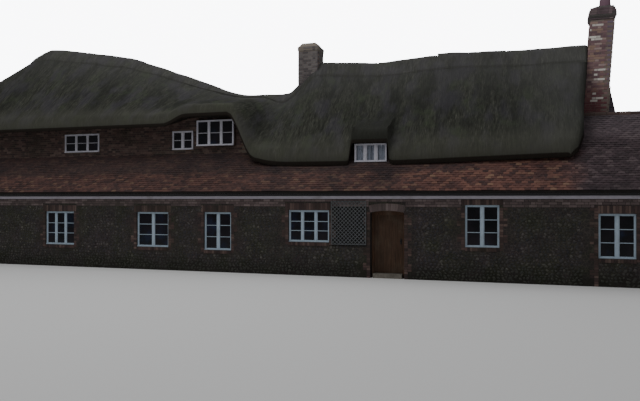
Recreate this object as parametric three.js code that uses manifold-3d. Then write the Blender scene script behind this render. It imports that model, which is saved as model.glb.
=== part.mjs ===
// A long thatched cottage with a clay-tiled lean-to along its front and a tiled extension at its right end.
// Millimetres, +Z up. The front looks along -Y, and the origin is the middle of the plan at ground level.
import * as THREE from "three";
import { mergeVertices } from "three/addons/utils/BufferGeometryUtils.js";
import Module from "manifold-3d";

const wasm = await Module();
wasm.setup();

// Gap kept between pieces that touch, the reach of a cutter past what it cuts, and a height over everything.
const touch = 0.3;
const past = 400;
const sky = 12000;

// Plan: faces of the walls along Y, from the lean-to at the front to the back wall.
const leanToFace = -3450;
const leanToThick = 350;
const upperFace = -2050;
const upperThick = 300;
const backFace = 3150;
const backThick = 350;
const extensionBackFace = 1750;
const extensionThick = 300;

// Fascia board and half-round gutter along the lean-to.
const fasciaFoot = 2335;
const fasciaThick = 28;
const gutterRadius = 62;
const gutterZ = 2483;
const gutterFront = leanToFace - fasciaThick - 2 * gutterRadius - 2 * touch;

// Plan: ends of the walls along X.
const leftEnd = -12650;
const leftEndThick = 350;
const gableFace = 9250;
const gableThick = 300;
const extensionStart = 9550;
const extensionEnd = 12600;
const wallSplit = -1200;
const gableDoorY = [-1500, -600];
const gableDoorHead = 2100;

// Thatch: the ridge stands over the middle of the deep plan.
const ridgeY = 550;
const eavesOut = 650;
const frontEavesY = upperFace - eavesOut;
const backEavesY = -gutterFront;
const thatchDeep = 520;
const thatchTip = 390;
const thatchLeft = -12900;
const thatchSplit = 355;
const linkRidge = 6200;
const tallRidge = 8620;
const lowEaves = 3950;
const linkEaves = 5480;
const middleEaves = 3960;
const tallEaves = 5180;
const hipStart = -11300;
const hipFall = 1.08;

// The cap of straw along the ridge.
const capRow = 0.82;
const capThick = 75;

// Clay-tiled roofs, one plane from the lean-to up to the extension's ridge.
const tileSlope = 0.859;
const tileEavesY = -3570;
const tileEavesZ = 2565;
const tileThick = 80;
const tileRidgeY = -850;
const tileRight = 12900;
const ridgeTileRadius = 120;

// Floors and the timber frame that carries the upper front wall.
const floorTop = 100;
const upperFloorFoot = 2330;
const upperFloorTop = 2480;
const beamFoot = 2180;
const beamTop = 2720;
const postSide = 220;
const postXs = [-8300, wallSplit, 5600];

// Chimney stacks: both stand on the ground floor and come up at the ridge.
const stackY = [180, 900];
const leftStackX = [0, 750];
const leftStackTop = 7700;
const leftHead = { splay: 50, band: 130, over: 12, upper: 12, dome: 150 };
const capDraw = 120;
const flueHalf = 130;
const flueDeep = 650;
const stackClear = 6;

// The right-hand one has a broad base against the gable, a shoulder on its right and a shaft that leans.
const rightShaftX = [9680, 10400];
const rightShaftFoot = 5040;
const rightStackTop = 8010;
const rightLean = 220;
const rightHead = { splay: 120, band: 270, over: 48, upper: 0, dome: 80 };
const breastX = [gableFace + touch, 10632];
const breastTop = 5900;
const breastSlope = 6150;
const shoulderTop = [10455, 5880];
const potX = 10352;

// The front door.
const doorX = [3640, 4530];
const doorHead = 1930;
const archRise = 55;
const archDeep = 215;
const frameWide = 62;
const frameY = [-3234, -3150];
const leafThick = 44;
const leafGap = 5;
const stopDeep = 34;
const stopWide = 14;
const stopClear = 6;
const knuckleRadius = 7;
const knuckleTall = 45;
const strapThick = 4;
const strapLong = 60;
const flapLong = 45;
const hingeHeights = [380, 1560];
const thresholdTop = 130;
const knobHeight = 1080;

// Windows: name, first and last X, sill and head, lights, and the face of the wall that holds them.
const groundWindows = [
  ["window_far_left", -8100, -6900, 750, 1900, 3],
  ["window_left", -4400, -3200, 750, 1900, 2],
  ["window_tall", -1900, -940, 700, 1910, 2],
  ["window_middle", 1000, 2310, 1020, 1990, 3],
  ["window_right", 6320, 7260, 970, 2160, 2],
];
const extensionWindow = ["window_extension", 9800, 10720, 750, 1940, 2];
const dormers = [
  ["dormer_right", 2860, 3880, 3480, 4050, 3, 500],
  ["dormer_middle", -2850, -1450, 4150, 5030, 3, 150],
  ["dormer_left", -3860, -3050, 4050, 4700, 2, 40],
  ["dormer_far_left", -8400, -6900, 4050, 4720, 3, 40],
];
const backWindows = [
  ["window_back_left", -8200, -7000, 850, 1950, 3],
  ["window_back_middle", -2600, -1400, 850, 1950, 3],
  ["window_back_right", 4700, 5900, 850, 1950, 3],
];
const windowDeep = 70;
const windowBar = 55;
const paneThick = 8;
const windowSet = 60;
const dormerBoard = 45;

// Colours and finishes.
const finishes = {
  flint: [0x5b5a52, 0.95],
  brick: [0x7a4a3c, 0.9],
  thatch: [0x4a4a3e, 1.0],
  cap: [0x57564a, 1.0],
  tile: [0x6d4334, 0.9],
  oldTile: [0x51383a, 0.9],
  white: [0xd9dcdc, 0.5],
  iron: [0x17181a, 0.45],
  oak: [0x4f4033, 0.8],
  door: [0x4a2f20, 0.6],
  floor: [0x7d6a55, 0.8],
  stone: [0x8b867b, 0.9],
  clay: [0x8f5b43, 0.85],
};

const cottage = new THREE.Group();

// Adds one named piece with its own material.
function place(name, geometry, finish) {
  const [color, roughness] = finishes[finish];
  const metalness = finish === "iron" ? 0.4 : 0;
  const material = new THREE.MeshStandardMaterial({ color, roughness, metalness });
  const mesh = new THREE.Mesh(geometry, material);
  mesh.name = name;
  cottage.add(mesh);
  return mesh;
}

// A closed geometry as a solid that can be joined and cut.
function solid(geometry) {
  const bare = geometry.index ? geometry.clone() : geometry;
  bare.deleteAttribute("normal");
  bare.deleteAttribute("uv");
  const merged = mergeVertices(bare, 1e-3);
  const vertProperties = merged.attributes.position.array;
  const triVerts = new Uint32Array(merged.index.array);
  return new wasm.Manifold(new wasm.Mesh({ numProp: 3, vertProperties, triVerts }));
}

// The solid's vertices and triangles as a geometry.
function shown(body) {
  const mesh = body.getMesh();
  const geometry = new THREE.BufferGeometry();
  geometry.setAttribute("position", new THREE.BufferAttribute(mesh.vertProperties, 3));
  geometry.setIndex(new THREE.BufferAttribute(mesh.triVerts, 1));
  return geometry;
}

// A box between two values along each axis.
function box([x0, x1], [y0, y1], [z0, z1]) {
  const geometry = new THREE.BoxGeometry(x1 - x0, y1 - y0, z1 - z0);
  return geometry.translate((x0 + x1) / 2, (y0 + y1) / 2, (z0 + z1) / 2);
}

// An outline in Y and Z, carried along X.
function alongX(points, [x0, x1]) {
  const shape = new THREE.Shape(points.map(([y, z]) => new THREE.Vector2(y, z)));
  const geometry = new THREE.ExtrudeGeometry(shape, { depth: x1 - x0, bevelEnabled: false });
  const turn = new THREE.Matrix4().set(0, 0, 1, x0, 1, 0, 0, 0, 0, 1, 0, 0, 0, 0, 0, 1);
  return geometry.applyMatrix4(turn);
}

// A shape in X and Z, carried along Y.
function alongY(shape, [y0, y1]) {
  const depth = y1 - y0;
  const geometry = new THREE.ExtrudeGeometry(shape, { depth, bevelEnabled: false, curveSegments: 12 });
  return geometry.rotateX(Math.PI / 2).translate(0, y1, 0);
}

// Takes boxes out of a geometry.
function cutBoxes(geometry, boxes) {
  let body = solid(geometry);
  for (const cut of boxes) body = body.subtract(solid(cut));
  return body;
}

// A height that runs smoothly through stations along X, level at peaks, dips and both ends.
function curveThrough(stations, x) {
  const last = stations.length - 1;
  if (x <= stations[0][0]) return stations[0][1];
  if (x >= stations[last][0]) return stations[last][1];
  const i = stations.findIndex(([at]) => at > x);
  const slope = (k) => (stations[k][1] - stations[k - 1][1]) / (stations[k][0] - stations[k - 1][0]);
  const tangent = (k) => {
    if (k === 0 || k === last || slope(k) * slope(k + 1) <= 0) return 0;
    return (2 * slope(k) * slope(k + 1)) / (slope(k) + slope(k + 1));
  };
  const [x0, z0] = stations[i - 1];
  const [x1, z1] = stations[i];
  const wide = x1 - x0;
  const t = (x - x0) / wide;
  const rise = t * t * (3 - 2 * t);
  const lean = tangent(i - 1) * t * (1 - t) ** 2 + tangent(i) * t * t * (t - 1);
  return z0 + (z1 - z0) * rise + wide * lean;
}

// Height of the thatch at the ridge, the front eaves and the back eaves, at values of X.
const ridgeStations = [
  [hipStart, tallRidge],
  [-8700, 8240],
  [-7400, 8010],
  [-5100, 7260],
  [-3800, 6780],
  [-2870, 6400],
  [-1900, linkRidge],
  [-900, linkRidge],
  [-500, 6225],
  [-70, 6550],
  [leftStackX[1], 7275],
  [3000, 7150],
  [5100, 7265],
  [7600, 7205],
  [9790, 7215],
];
const frontStations = [
  [-3900, tallEaves],
  [-3000, linkEaves],
  [-1450, linkEaves],
  [-500, middleEaves],
  [800, 3820],
  [3800, 3813],
  [6500, 3873],
  [9000, 3940],
  [9790, lowEaves],
];
const backStations = [
  [-5400, tallEaves],
  [-3200, lowEaves],
];

// The lid of thatch over the right-hand dormer: how far it lifts the eaves at a place.
const lidMiddle = (dormers[0][1] + dormers[0][2]) / 2;
const lidHalf = 560;
const lidEase = 130;
const lidLift = 625;
const lidDeep = 1150;

function lidAt(x, y) {
  const aside = THREE.MathUtils.smoothstep(Math.abs(x - lidMiddle), lidHalf, lidHalf + lidEase);
  const up = THREE.MathUtils.clamp((y - frontEavesY) / lidDeep, 0, 1);
  return lidLift * (1 - aside) * (1 - up);
}

// The right verge draws in towards the eaves, and its lower corner is rounded.
const vergeStations = [
  [frontEavesY, 9150],
  [frontEavesY + 150, 9370],
  [frontEavesY + 650, 9545],
  [frontEavesY + 1500, 9600],
  [ridgeY, 9785],
];

function vergeAt(y) {
  const front = y > ridgeY ? 2 * ridgeY - y : y;
  const clamped = Math.max(front, frontEavesY);
  const i = Math.max(1, vergeStations.findIndex(([at]) => at >= clamped));
  const [y0, x0] = vergeStations[i - 1];
  const [y1, x1] = vergeStations[i];
  return x0 + ((x1 - x0) * (clamped - y0)) / (y1 - y0);
}

// Upper face of the thatch.
function thatchTop(x, y) {
  const ridge = curveThrough(ridgeStations, x);
  const front = y <= ridgeY;
  const eaves = curveThrough(front ? frontStations : backStations, x);
  const edge = front ? frontEavesY : backEavesY;
  const up = (y - edge) / (ridgeY - edge);
  const slope = eaves + (ridge - eaves) * up;
  const lifted = front ? slope + lidAt(x, y) : slope;
  const hip = tallRidge - hipFall * Math.max(0, hipStart - x);
  return x < hipStart ? Math.min(lifted, hip) : lifted;
}

// Under face of the thatch: thinner at the tip of the eaves than over the wall.
function thatchFoot(x, y) {
  const edge = y <= ridgeY ? y - frontEavesY : backEavesY - y;
  const depth = THREE.MathUtils.lerp(thatchTip, thatchDeep, THREE.MathUtils.clamp(edge / eavesOut, 0, 1));
  return thatchTop(x, y) - depth;
}

// A closed slab over a grid, from one height function to another.
function heightSlab(columns, rows, spot, top, foot) {
  const points = [];
  const faces = [];
  const across = columns.length;
  const count = across * rows.length;
  for (const height of [top, foot]) {
    for (const row of rows) {
      for (const column of columns) {
        const [x, y] = spot(column, row);
        points.push(x, y, height(x, y));
      }
    }
  }
  const quad = (a, b, c, d) => faces.push(a, b, c, a, c, d);
  const at = (i, j) => j * across + i;
  for (let j = 0; j < rows.length - 1; j++) {
    for (let i = 0; i < across - 1; i++) {
      quad(at(i, j), at(i + 1, j), at(i + 1, j + 1), at(i, j + 1));
      quad(count + at(i, j), count + at(i, j + 1), count + at(i + 1, j + 1), count + at(i + 1, j));
    }
  }
  const side = (a, b) => quad(b, a, count + a, count + b);
  for (let i = 0; i < across - 1; i++) {
    side(at(i, 0), at(i + 1, 0));
    side(at(i + 1, rows.length - 1), at(i, rows.length - 1));
  }
  for (let j = 0; j < rows.length - 1; j++) {
    side(at(across - 1, j), at(across - 1, j + 1));
    side(at(0, j + 1), at(0, j));
  }
  const geometry = new THREE.BufferGeometry();
  geometry.setAttribute("position", new THREE.BufferAttribute(new Float32Array(points), 3));
  geometry.setIndex(faces);
  return geometry;
}

// Stations along X for the left and right parts of the thatch, closer where the eaves lift.
function stations(from, to, pitch, extra = []) {
  const steps = Math.max(1, Math.round((to - from) / pitch));
  const even = Array.from({ length: steps - 1 }, (_, i) => from + ((to - from) * (i + 1)) / steps);
  const clear = (x) => extra.every((at) => Math.abs(at - x) > pitch * 0.2);
  return [from, to, ...even.filter(clear), ...extra].sort((a, b) => a - b);
}

const lidXs = [-1, 1].flatMap((s) => [0, 0.5, 1].map((t) => lidMiddle + s * (lidHalf + lidEase * t)));
const sweptXs = [-3000, -1450, -1240, -1025, -780, -500, -70];
const leftXs = stations(thatchLeft, thatchSplit, 620, [hipStart, ...sweptXs]);
const rightXs = stations(thatchSplit, vergeStations[0][1] - 60, 800, [...lidXs, lidMiddle]);
const slopeRows = [0, 0.04, 0.1, 0.175, 0.27, 0.36, 0.5, 0.65, capRow, 1];
const backRows = [1, capRow, 0.65, 0.5, 0.36, 0.17, 0];

// One slope of the thatch, front or back, left or right of the split, between two height functions.
function slopeSlab(isFront, isRight, gap, top, foot) {
  const edge = isFront ? frontEavesY : backEavesY;
  const rows = isFront ? slopeRows : backRows;
  const columns = isRight ? [...rightXs, "verge"] : leftXs;
  const spot = (column, row) => {
    const y = THREE.MathUtils.lerp(edge, ridgeY, row) + (row === 1 ? (isFront ? -gap : gap) : 0);
    if (column === "verge") return [vergeAt(y), y];
    return [column === thatchSplit ? column + (isRight ? gap : -gap) : column, y];
  };
  return solid(heightSlab(columns, rows, spot, top, foot));
}

// The four slopes with no gap between them, as one solid between two height functions.
function wholeRoof(top, foot) {
  const slopes = [true, false].flatMap((f) => [true, false].map((r) => slopeSlab(f, r, 0, top, foot)));
  return slopes.reduce((all, one) => all.add(one));
}

// Everything over the under face of the thatch, for trimming the walls below it.
const aboveThatch = wholeRoof(
  () => sky,
  (x, y) => thatchFoot(x, y) - touch,
);

// A wall or other piece cut off under the thatch.
function underThatch(body) {
  return body.subtract(aboveThatch);
}

// The space that a stack takes in a roof or a floor.
function stackSpace([x0, x1], zs) {
  return box([x0 - stackClear, x1 + stackClear], [stackY[0] - stackClear, stackY[1] + stackClear], zs);
}

function addThatch() {
  const stack = solid(stackSpace(leftStackX, [0, sky]));
  for (const isFront of [true, false]) {
    for (const isRight of [true, false]) {
      const name = `thatch_${isRight ? "right" : "left"}_${isFront ? "front" : "back"}`;
      const slope = slopeSlab(isFront, isRight, touch / 2, thatchTop, thatchFoot);
      place(name, shown(slope.subtract(stack)), "thatch");
    }
  }
  addRidgeCaps(stack);
}

// The caps of straw: slabs over the ridge, on the same grid as the slopes below them.
function addRidgeCaps(stack) {
  const edgeY = (eavesY) => THREE.MathUtils.lerp(eavesY, ridgeY, capRow);
  const rows = [edgeY(frontEavesY), ridgeY, edgeY(backEavesY)];
  const top = (x, y) => thatchTop(x, y) + capThick;
  const foot = (x, y) => thatchTop(x, y) + 2 * touch;
  for (const isRight of [true, false]) {
    const columns = isRight ? [...rightXs, "verge"] : leftXs;
    const spot = (column, y) => {
      if (column === "verge") return [vergeAt(y), y];
      return [column === thatchSplit ? column + (isRight ? touch : -touch) : column, y];
    };
    const cap = solid(heightSlab(columns, rows, spot, top, foot)).subtract(stack);
    place(`ridge_cap_${isRight ? "right" : "left"}`, shown(cap), "cap");
  }
}

// The tiled plane and the under face of the tiles.
function tileTopZ(y) {
  return tileEavesZ + tileSlope * (y - tileEavesY);
}

function tileFootZ(y) {
  return tileTopZ(y) - tileThick;
}

// A sloping sheet of tiles between two values of Y.
function tileSheet(y0, y1, xs) {
  const points = [
    [y0, tileFootZ(y0)],
    [y1, tileFootZ(y1)],
    [y1, tileTopZ(y1)],
    [y0, tileTopZ(y0)],
  ];
  return alongX(points, xs);
}

function addTiles() {
  const under = upperFace - touch;
  const edge = gableFace + touch;
  place("lean_to_tiles_left", tileSheet(tileEavesY, under, [thatchLeft, wallSplit - touch]), "tile");
  const right = tileSheet(tileEavesY, under, [wallSplit, gableFace - touch]);
  const [, x0, x1, , , , reach] = dormers[0];
  const notch = box([x0 - touch, x1 + touch], [upperFace - reach - touch, upperFace + past], [0, sky]);
  place("lean_to_tiles_right", shown(cutBoxes(right, [notch])), "tile");
  place("extension_tiles_front", tileSheet(tileEavesY, tileRidgeY - touch, [edge, tileRight]), "oldTile");
  const mirrorY = (y) => 2 * tileRidgeY - y;
  const back = [
    [tileRidgeY, tileFootZ(tileRidgeY)],
    [mirrorY(tileEavesY), tileFootZ(tileEavesY)],
    [mirrorY(tileEavesY), tileTopZ(tileEavesY)],
    [tileRidgeY, tileTopZ(tileRidgeY)],
  ];
  const sheet = alongX(back, [edge, tileRight]);
  place("extension_tiles_back", shown(cutBoxes(sheet, [stackSpace(breastX, [0, sky])])), "oldTile");
  const ridge = new THREE.Shape();
  const inner = ridgeTileRadius - 22;
  ridge.absarc(0, 0, ridgeTileRadius, 0, Math.PI, false);
  ridge.absarc(0, 0, inner, Math.PI, 0, true);
  const depth = tileRight - edge;
  const roll = new THREE.ExtrudeGeometry(ridge, { depth, bevelEnabled: false, curveSegments: 10 });
  const turn = new THREE.Matrix4().set(0, 0, 1, edge, 1, 0, 0, tileRidgeY, 0, 1, 0, 0, 0, 0, 0, 1);
  const seat = tileTopZ(tileRidgeY) - tileSlope * inner * 0.98 + 1;
  roll.applyMatrix4(turn).translate(0, 0, seat);
  const slab = [
    [tileRidgeY - 400, seat - past],
    [tileRidgeY + 400, seat - past],
    [tileRidgeY + 400, tileTopZ(tileRidgeY) - tileSlope * 400 + touch],
    [tileRidgeY, tileTopZ(tileRidgeY) + touch],
    [tileRidgeY - 400, tileTopZ(tileRidgeY) - tileSlope * 400 + touch],
  ];
  const saddle = solid(alongX(slab, [edge - past, tileRight + past]));
  place("extension_ridge_tiles", shown(solid(roll).subtract(saddle)), "clay");
}

// A hole for a window through a wall whose outer face is at the given Y.
function windowHole([, x0, x1, z0, z1], y0, y1) {
  return box([x0 - touch, x1 + touch], [y0 - past, y1 + past], [z0 - touch, z1 + touch]);
}

// A window: frame, mullions and pane in one, set back from the face it looks out of.
function windowBody([, x0, x1, z0, z1, lights], y0) {
  const ys = [y0, y0 + windowDeep];
  let body = solid(box([x0, x1], ys, [z0, z1]));
  const clear = (x1 - x0 - windowBar * (lights + 1)) / lights;
  for (let i = 0; i < lights; i++) {
    const left = x0 + windowBar + i * (clear + windowBar);
    const light = [left, left + clear];
    const zs = [z0 + windowBar, z1 - windowBar];
    const middle = y0 + windowDeep / 2;
    body = body.subtract(solid(box(light, [y0 - past, middle - paneThick / 2], zs)));
    body = body.subtract(solid(box(light, [middle + paneThick / 2, ys[1] + past], zs)));
  }
  return body;
}

// A dormer: its window, and where it stands proud a box of boards that runs back through the wall.
function addDormer(row) {
  const [name, x0, x1, z0, z1, , reach] = row;
  const face = upperFace - reach;
  let body = windowBody(row, face);
  if (reach > windowDeep) {
    const ys = [face + windowDeep - 1, upperFace + upperThick];
    const hollowX = [x0 + dormerBoard, x1 - dormerBoard];
    const hollowZ = [z0 + dormerBoard, z1 - dormerBoard];
    const hollow = solid(box(hollowX, [ys[0] - past, ys[1] + past], hollowZ));
    body = body.add(solid(box([x0, x1], ys, [z0, z1])).subtract(hollow));
  }
  place(name, shown(body), "white");
}

// The outline of a lean-to wall under the tiles.
function leanToProfile() {
  const inner = leanToFace + leanToThick;
  return [
    [leanToFace, 0],
    [inner, 0],
    [inner, tileFootZ(inner) - touch],
    [leanToFace, tileFootZ(leanToFace) - touch],
  ];
}

function addFrontWalls() {
  const inner = leanToFace + leanToThick;
  const doorSide = [doorX[0] - frameWide, doorX[1] + frameWide];
  const leftXsOfWall = [leftEnd, doorSide[0] - touch];
  const rightXsOfWall = [doorSide[1] + touch, extensionStart - touch];
  const holes = (from, to) =>
    groundWindows.filter((w) => w[1] > from && w[2] < to).map((w) => windowHole(w, leanToFace, inner));
  const left = cutBoxes(alongX(leanToProfile(), leftXsOfWall), holes(...leftXsOfWall));
  const right = cutBoxes(alongX(leanToProfile(), rightXsOfWall), holes(...rightXsOfWall));
  place("front_wall_left", shown(left), "flint");
  place("front_wall_right", shown(right), "flint");
  const extensionXs = [extensionStart, extensionEnd];
  const hole = windowHole(extensionWindow, leanToFace, inner);
  place("extension_front_wall", shown(cutBoxes(alongX(leanToProfile(), extensionXs), [hole])), "flint");
  addDoorArch(doorSide, inner);
}

// The segmental brick arch over the door, and the wall that it carries.
function addDoorArch([x0, x1], inner) {
  const half = (x1 - x0) / 2;
  const middle = (x0 + x1) / 2;
  const radius = (half * half + archRise * archRise) / (2 * archRise);
  const centreZ = doorHead + archRise - radius;
  const sweep = Math.asin(half / radius);
  const outerSweep = Math.asin(half / (radius + archDeep));
  const [right, left] = [Math.PI / 2 - sweep, Math.PI / 2 + sweep];
  const [outerRight, outerLeft] = [Math.PI / 2 - outerSweep, Math.PI / 2 + outerSweep];
  const ring = new THREE.Shape();
  ring.absarc(middle, centreZ, radius + archDeep, outerRight, outerLeft, false);
  ring.absarc(middle, centreZ, radius, left, right, true);
  place("door_arch", alongY(ring, [leanToFace, inner]), "brick");
  const over = new THREE.Shape();
  over.absarc(middle, centreZ, radius + archDeep + touch, outerLeft, outerRight, true);
  over.lineTo(x1, sky);
  over.lineTo(x0, sky);
  const profile = solid(alongX(leanToProfile(), [x0, x1]));
  place("front_wall_over_door", shown(solid(alongY(over, [leanToFace, inner])).intersect(profile)), "flint");
}

function addUpperWalls() {
  const inner = upperFace + upperThick;
  const zs = [beamTop + touch, sky];
  const holes = dormers.map(([, x0, x1, z0, z1]) =>
    box([x0 - touch, x1 + touch], [upperFace - past, inner + past], [z0 - touch, z1 + touch]),
  );
  const rightXsOfWall = [wallSplit + touch, gableFace - gableThick - touch];
  const leftXsOfWall = [leftEnd + leftEndThick + touch, wallSplit];
  const right = cutBoxes(box(rightXsOfWall, [upperFace, inner], zs), holes);
  const left = cutBoxes(box(leftXsOfWall, [upperFace, inner], zs), holes);
  place("upper_front_wall_right", shown(underThatch(right)), "brick");
  place("upper_front_wall_left", shown(underThatch(left)), "brick");
}

// The outline of a wall across the whole plan, between the front and back walls.
function crossWallProfile() {
  const inner = leanToFace + leanToThick;
  return [
    [inner + touch, 0],
    [backFace - backThick - touch, 0],
    [backFace - backThick - touch, sky],
    [upperFace, sky],
    [upperFace, tileFootZ(upperFace) - touch],
    [inner + touch, tileFootZ(inner) - touch],
  ];
}

// The main gable between the cottage and its extension, with a doorway between them.
function addGable() {
  const xs = [gableFace - gableThick, gableFace];
  const doorway = box([xs[0] - past, xs[1] + past], gableDoorY, [floorTop, gableDoorHead]);
  const wall = cutBoxes(alongX(crossWallProfile(), xs), [doorway]);
  place("right_gable_wall", shown(underThatch(wall)), "brick");
}

function addEndAndBackWalls() {
  const end = solid(alongX(crossWallProfile(), [leftEnd, leftEnd + leftEndThick]));
  place("left_end_wall", shown(underThatch(end)), "flint");
  const backYs = [backFace - backThick, backFace];
  const holes = backWindows.map((w) => windowHole(w, backYs[0], backYs[1]));
  const back = cutBoxes(box([leftEnd, gableFace], backYs, [0, sky]), holes);
  place("back_wall", shown(underThatch(back)), "flint");
}

function addExtensionWalls() {
  const inner = leanToFace + leanToThick;
  const backInner = extensionBackFace - extensionThick;
  const mirrorY = (y) => 2 * tileRidgeY - y;
  const foot = (y) => tileFootZ(Math.min(y, mirrorY(y))) - touch;
  const backProfile = [
    [backInner, 0],
    [extensionBackFace, 0],
    [extensionBackFace, foot(extensionBackFace)],
    [backInner, foot(backInner)],
  ];
  place("extension_back_wall", alongX(backProfile, [gableFace + touch, extensionEnd]), "flint");
  const endProfile = [
    [inner + touch, 0],
    [backInner - touch, 0],
    [backInner - touch, foot(backInner)],
    [tileRidgeY, foot(tileRidgeY)],
    [inner + touch, foot(inner)],
  ];
  place("extension_end_wall", alongX(endProfile, [extensionEnd - extensionThick, extensionEnd]), "flint");
}

function addFloors() {
  const inner = leanToFace + leanToThick;
  const mainXs = [leftEnd + leftEndThick + touch, gableFace - gableThick - touch];
  place("ground_floor", box(mainXs, [inner + touch, backFace - backThick - touch], [0, floorTop]), "stone");
  const extensionXs = [gableFace + touch, extensionEnd - extensionThick - touch];
  const extensionYs = [inner + touch, extensionBackFace - extensionThick - touch];
  place("extension_floor", box(extensionXs, extensionYs, [0, floorTop]), "stone");
  const upperYs = [upperFace + upperThick + touch, backFace - backThick - touch];
  const upper = box(mainXs, upperYs, [upperFloorFoot, upperFloorTop]);
  place("upper_floor", shown(cutBoxes(upper, [stackSpace(leftStackX, [0, sky])])), "floor");
}

function addTimberFrame() {
  const beamYs = [upperFace, upperFace + upperThick];
  const zs = [beamFoot, beamTop];
  const leftXsOfBeam = [leftEnd + leftEndThick + touch, wallSplit - touch];
  const rightXsOfBeam = [wallSplit, gableFace - gableThick - touch];
  place("beam_left", box(leftXsOfBeam, beamYs, zs), "oak");
  place("beam_right", box(rightXsOfBeam, beamYs, zs), "oak");
  const middleY = upperFace + upperThick / 2;
  const half = postSide / 2;
  postXs.forEach((x, i) => {
    const ys = [middleY - half, middleY + half];
    place(`post_${i + 1}`, box([x - half, x + half], ys, [floorTop + touch, beamFoot - touch]), "oak");
  });
}

function addRainwater() {
  const ys = [leanToFace - fasciaThick - touch, leanToFace - touch];
  const fasciaEnd = tileFootZ(ys[0]) - touch;
  const board = box([leftEnd, extensionEnd], ys, [fasciaFoot, fasciaEnd]);
  place("fascia", board, "white");
  const half = new THREE.Shape();
  half.absarc(0, 0, gutterRadius, Math.PI, 2 * Math.PI, false);
  half.absarc(0, 0, gutterRadius - 8, 2 * Math.PI, Math.PI, true);
  const run = extensionEnd - leftEnd;
  const gutter = new THREE.ExtrudeGeometry(half, { depth: run, bevelEnabled: false, curveSegments: 8 });
  const turn = new THREE.Matrix4().set(0, 0, 1, leftEnd, 1, 0, 0, 0, 0, 1, 0, 0, 0, 0, 0, 1);
  gutter.applyMatrix4(turn).translate(0, ys[0] - gutterRadius - touch, gutterZ);
  place("gutter", gutter, "iron");
}

// A block that widens or narrows evenly from its foot to its top, and may lean along X.
function tapered(middle, [wide0, deep0], [wide1, deep1], [z0, z1], lean = 0) {
  const body = new THREE.BoxGeometry(wide0, deep0, z1 - z0);
  const position = body.attributes.position;
  for (let i = 0; i < position.count; i++) {
    if (position.getZ(i) < 0) continue;
    position.setX(i, (position.getX(i) * wide1) / wide0 + lean);
    position.setY(i, (position.getY(i) * deep1) / deep0);
  }
  return solid(body.translate(middle[0], middle[1], (z0 + z1) / 2));
}

// A square flue in the middle of a stack's depth.
function flueSpace(x, zs) {
  const y = (stackY[0] + stackY[1]) / 2;
  return solid(box([x - flueHalf, x + flueHalf], [y - flueHalf, y + flueHalf], zs));
}

// A shaft that narrows a little towards its top, with a flue in it.
function shaft([x0, x1], flueX, [z0, z1], taper, lean) {
  const size = [x1 - x0, stackY[1] - stackY[0]];
  const middle = [(x0 + x1) / 2, (stackY[0] + stackY[1]) / 2];
  const body = tapered(middle, size, [size[0] - taper, size[1] - taper], [z0, z1], lean);
  return body.subtract(flueSpace(flueX, [z1 - flueDeep, z1 + past]));
}

function addLeftStack(foot) {
  const flueX = (leftStackX[0] + leftStackX[1]) / 2;
  place("left_stack", shown(shaft(leftStackX, flueX, [foot, leftStackTop], 20, 0)), "brick");
  place("left_stack_cap", stackCap(leftStackX, flueX, leftStackTop + touch, leftHead), "brick");
}

function addRightStack(foot) {
  const outline = [
    [breastX[0], foot],
    [breastX[1], foot],
    [breastX[1], rightShaftFoot],
    shoulderTop,
    [rightShaftX[1] - capDraw, shoulderTop[1]],
    [rightShaftX[1] - capDraw, breastSlope],
    [rightShaftX[0], breastSlope],
    [breastX[0], breastTop],
  ];
  const shape = new THREE.Shape(outline.map(([x, z]) => new THREE.Vector2(x, z)));
  const base = underThatch(solid(alongY(shape, stackY)));
  const upper = shaft(rightShaftX, potX, [rightShaftFoot, rightStackTop], 10, rightLean);
  place("right_stack", shown(base.add(upper)), "brick");
  const headX = rightShaftX.map((x) => x + rightLean);
  place("right_stack_cap", stackCap(headX, potX, rightStackTop + touch, rightHead), "brick");
  addPot(rightStackTop + rightHead.splay + rightHead.band + rightHead.dome);
}

// Oversailing courses: a splay, a band that may draw in and a dome of mortar, with a flue through them.
function stackCap([x0, x1], flueX, z0, { splay, band, over, upper, dome }) {
  const middle = [(x0 + x1) / 2, (stackY[0] + stackY[1]) / 2];
  const size = (grow) => [x1 - x0 + 2 * grow, stackY[1] - stackY[0] + 2 * grow];
  const top = z0 + splay + band;
  const body = tapered(middle, size(-5), size(over), [z0, z0 + splay])
    .add(tapered(middle, size(over), size(upper), [z0 + splay, top]))
    .add(tapered(middle, size(upper - 20), size(-capDraw), [top, top + dome], flueX - middle[0]));
  return shown(body.subtract(flueSpace(flueX, [z0 - past, top + past])));
}

// The clay pot: a lathe with a rolled rim.
function addPot(z0) {
  const profile = [
    [150, 0],
    [185, 0],
    [172, 120],
    [150, 360],
    [172, 385],
    [172, 430],
    [135, 430],
    [118, 340],
    [125, 120],
  ];
  const points = [...profile, profile[0]].map(([r, z]) => new THREE.Vector2(r, z));
  const pot = new THREE.LatheGeometry(points, 20).rotateX(Math.PI / 2);
  const y = (stackY[0] + stackY[1]) / 2;
  place("right_stack_pot", shown(solid(pot.translate(potX, y, z0 + touch))), "clay");
}

function addWindows() {
  const face = leanToFace + windowSet;
  for (const row of [...groundWindows, extensionWindow]) place(row[0], shown(windowBody(row, face)), "white");
  for (const row of backWindows) {
    place(row[0], shown(windowBody(row, backFace - windowSet - windowDeep)), "white");
  }
  dormers.forEach(addDormer);
}

// The door: frame with a stop, leaf with its half of each hinge, threshold and latch.
const leafX = [doorX[0] + leafGap, doorX[1] - leafGap];
const leafFace = frameY[0] + stopDeep + stopClear;
const leafY = [leafFace, leafFace + leafThick];
const pivot = [leafX[0] - 2, leafY[1] + knuckleRadius + 1];

function knuckle(z0, z1) {
  const pin = new THREE.CylinderGeometry(knuckleRadius, knuckleRadius, z1 - z0, 16).rotateX(Math.PI / 2);
  return pin.translate(pivot[0], pivot[1], (z0 + z1) / 2);
}

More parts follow.
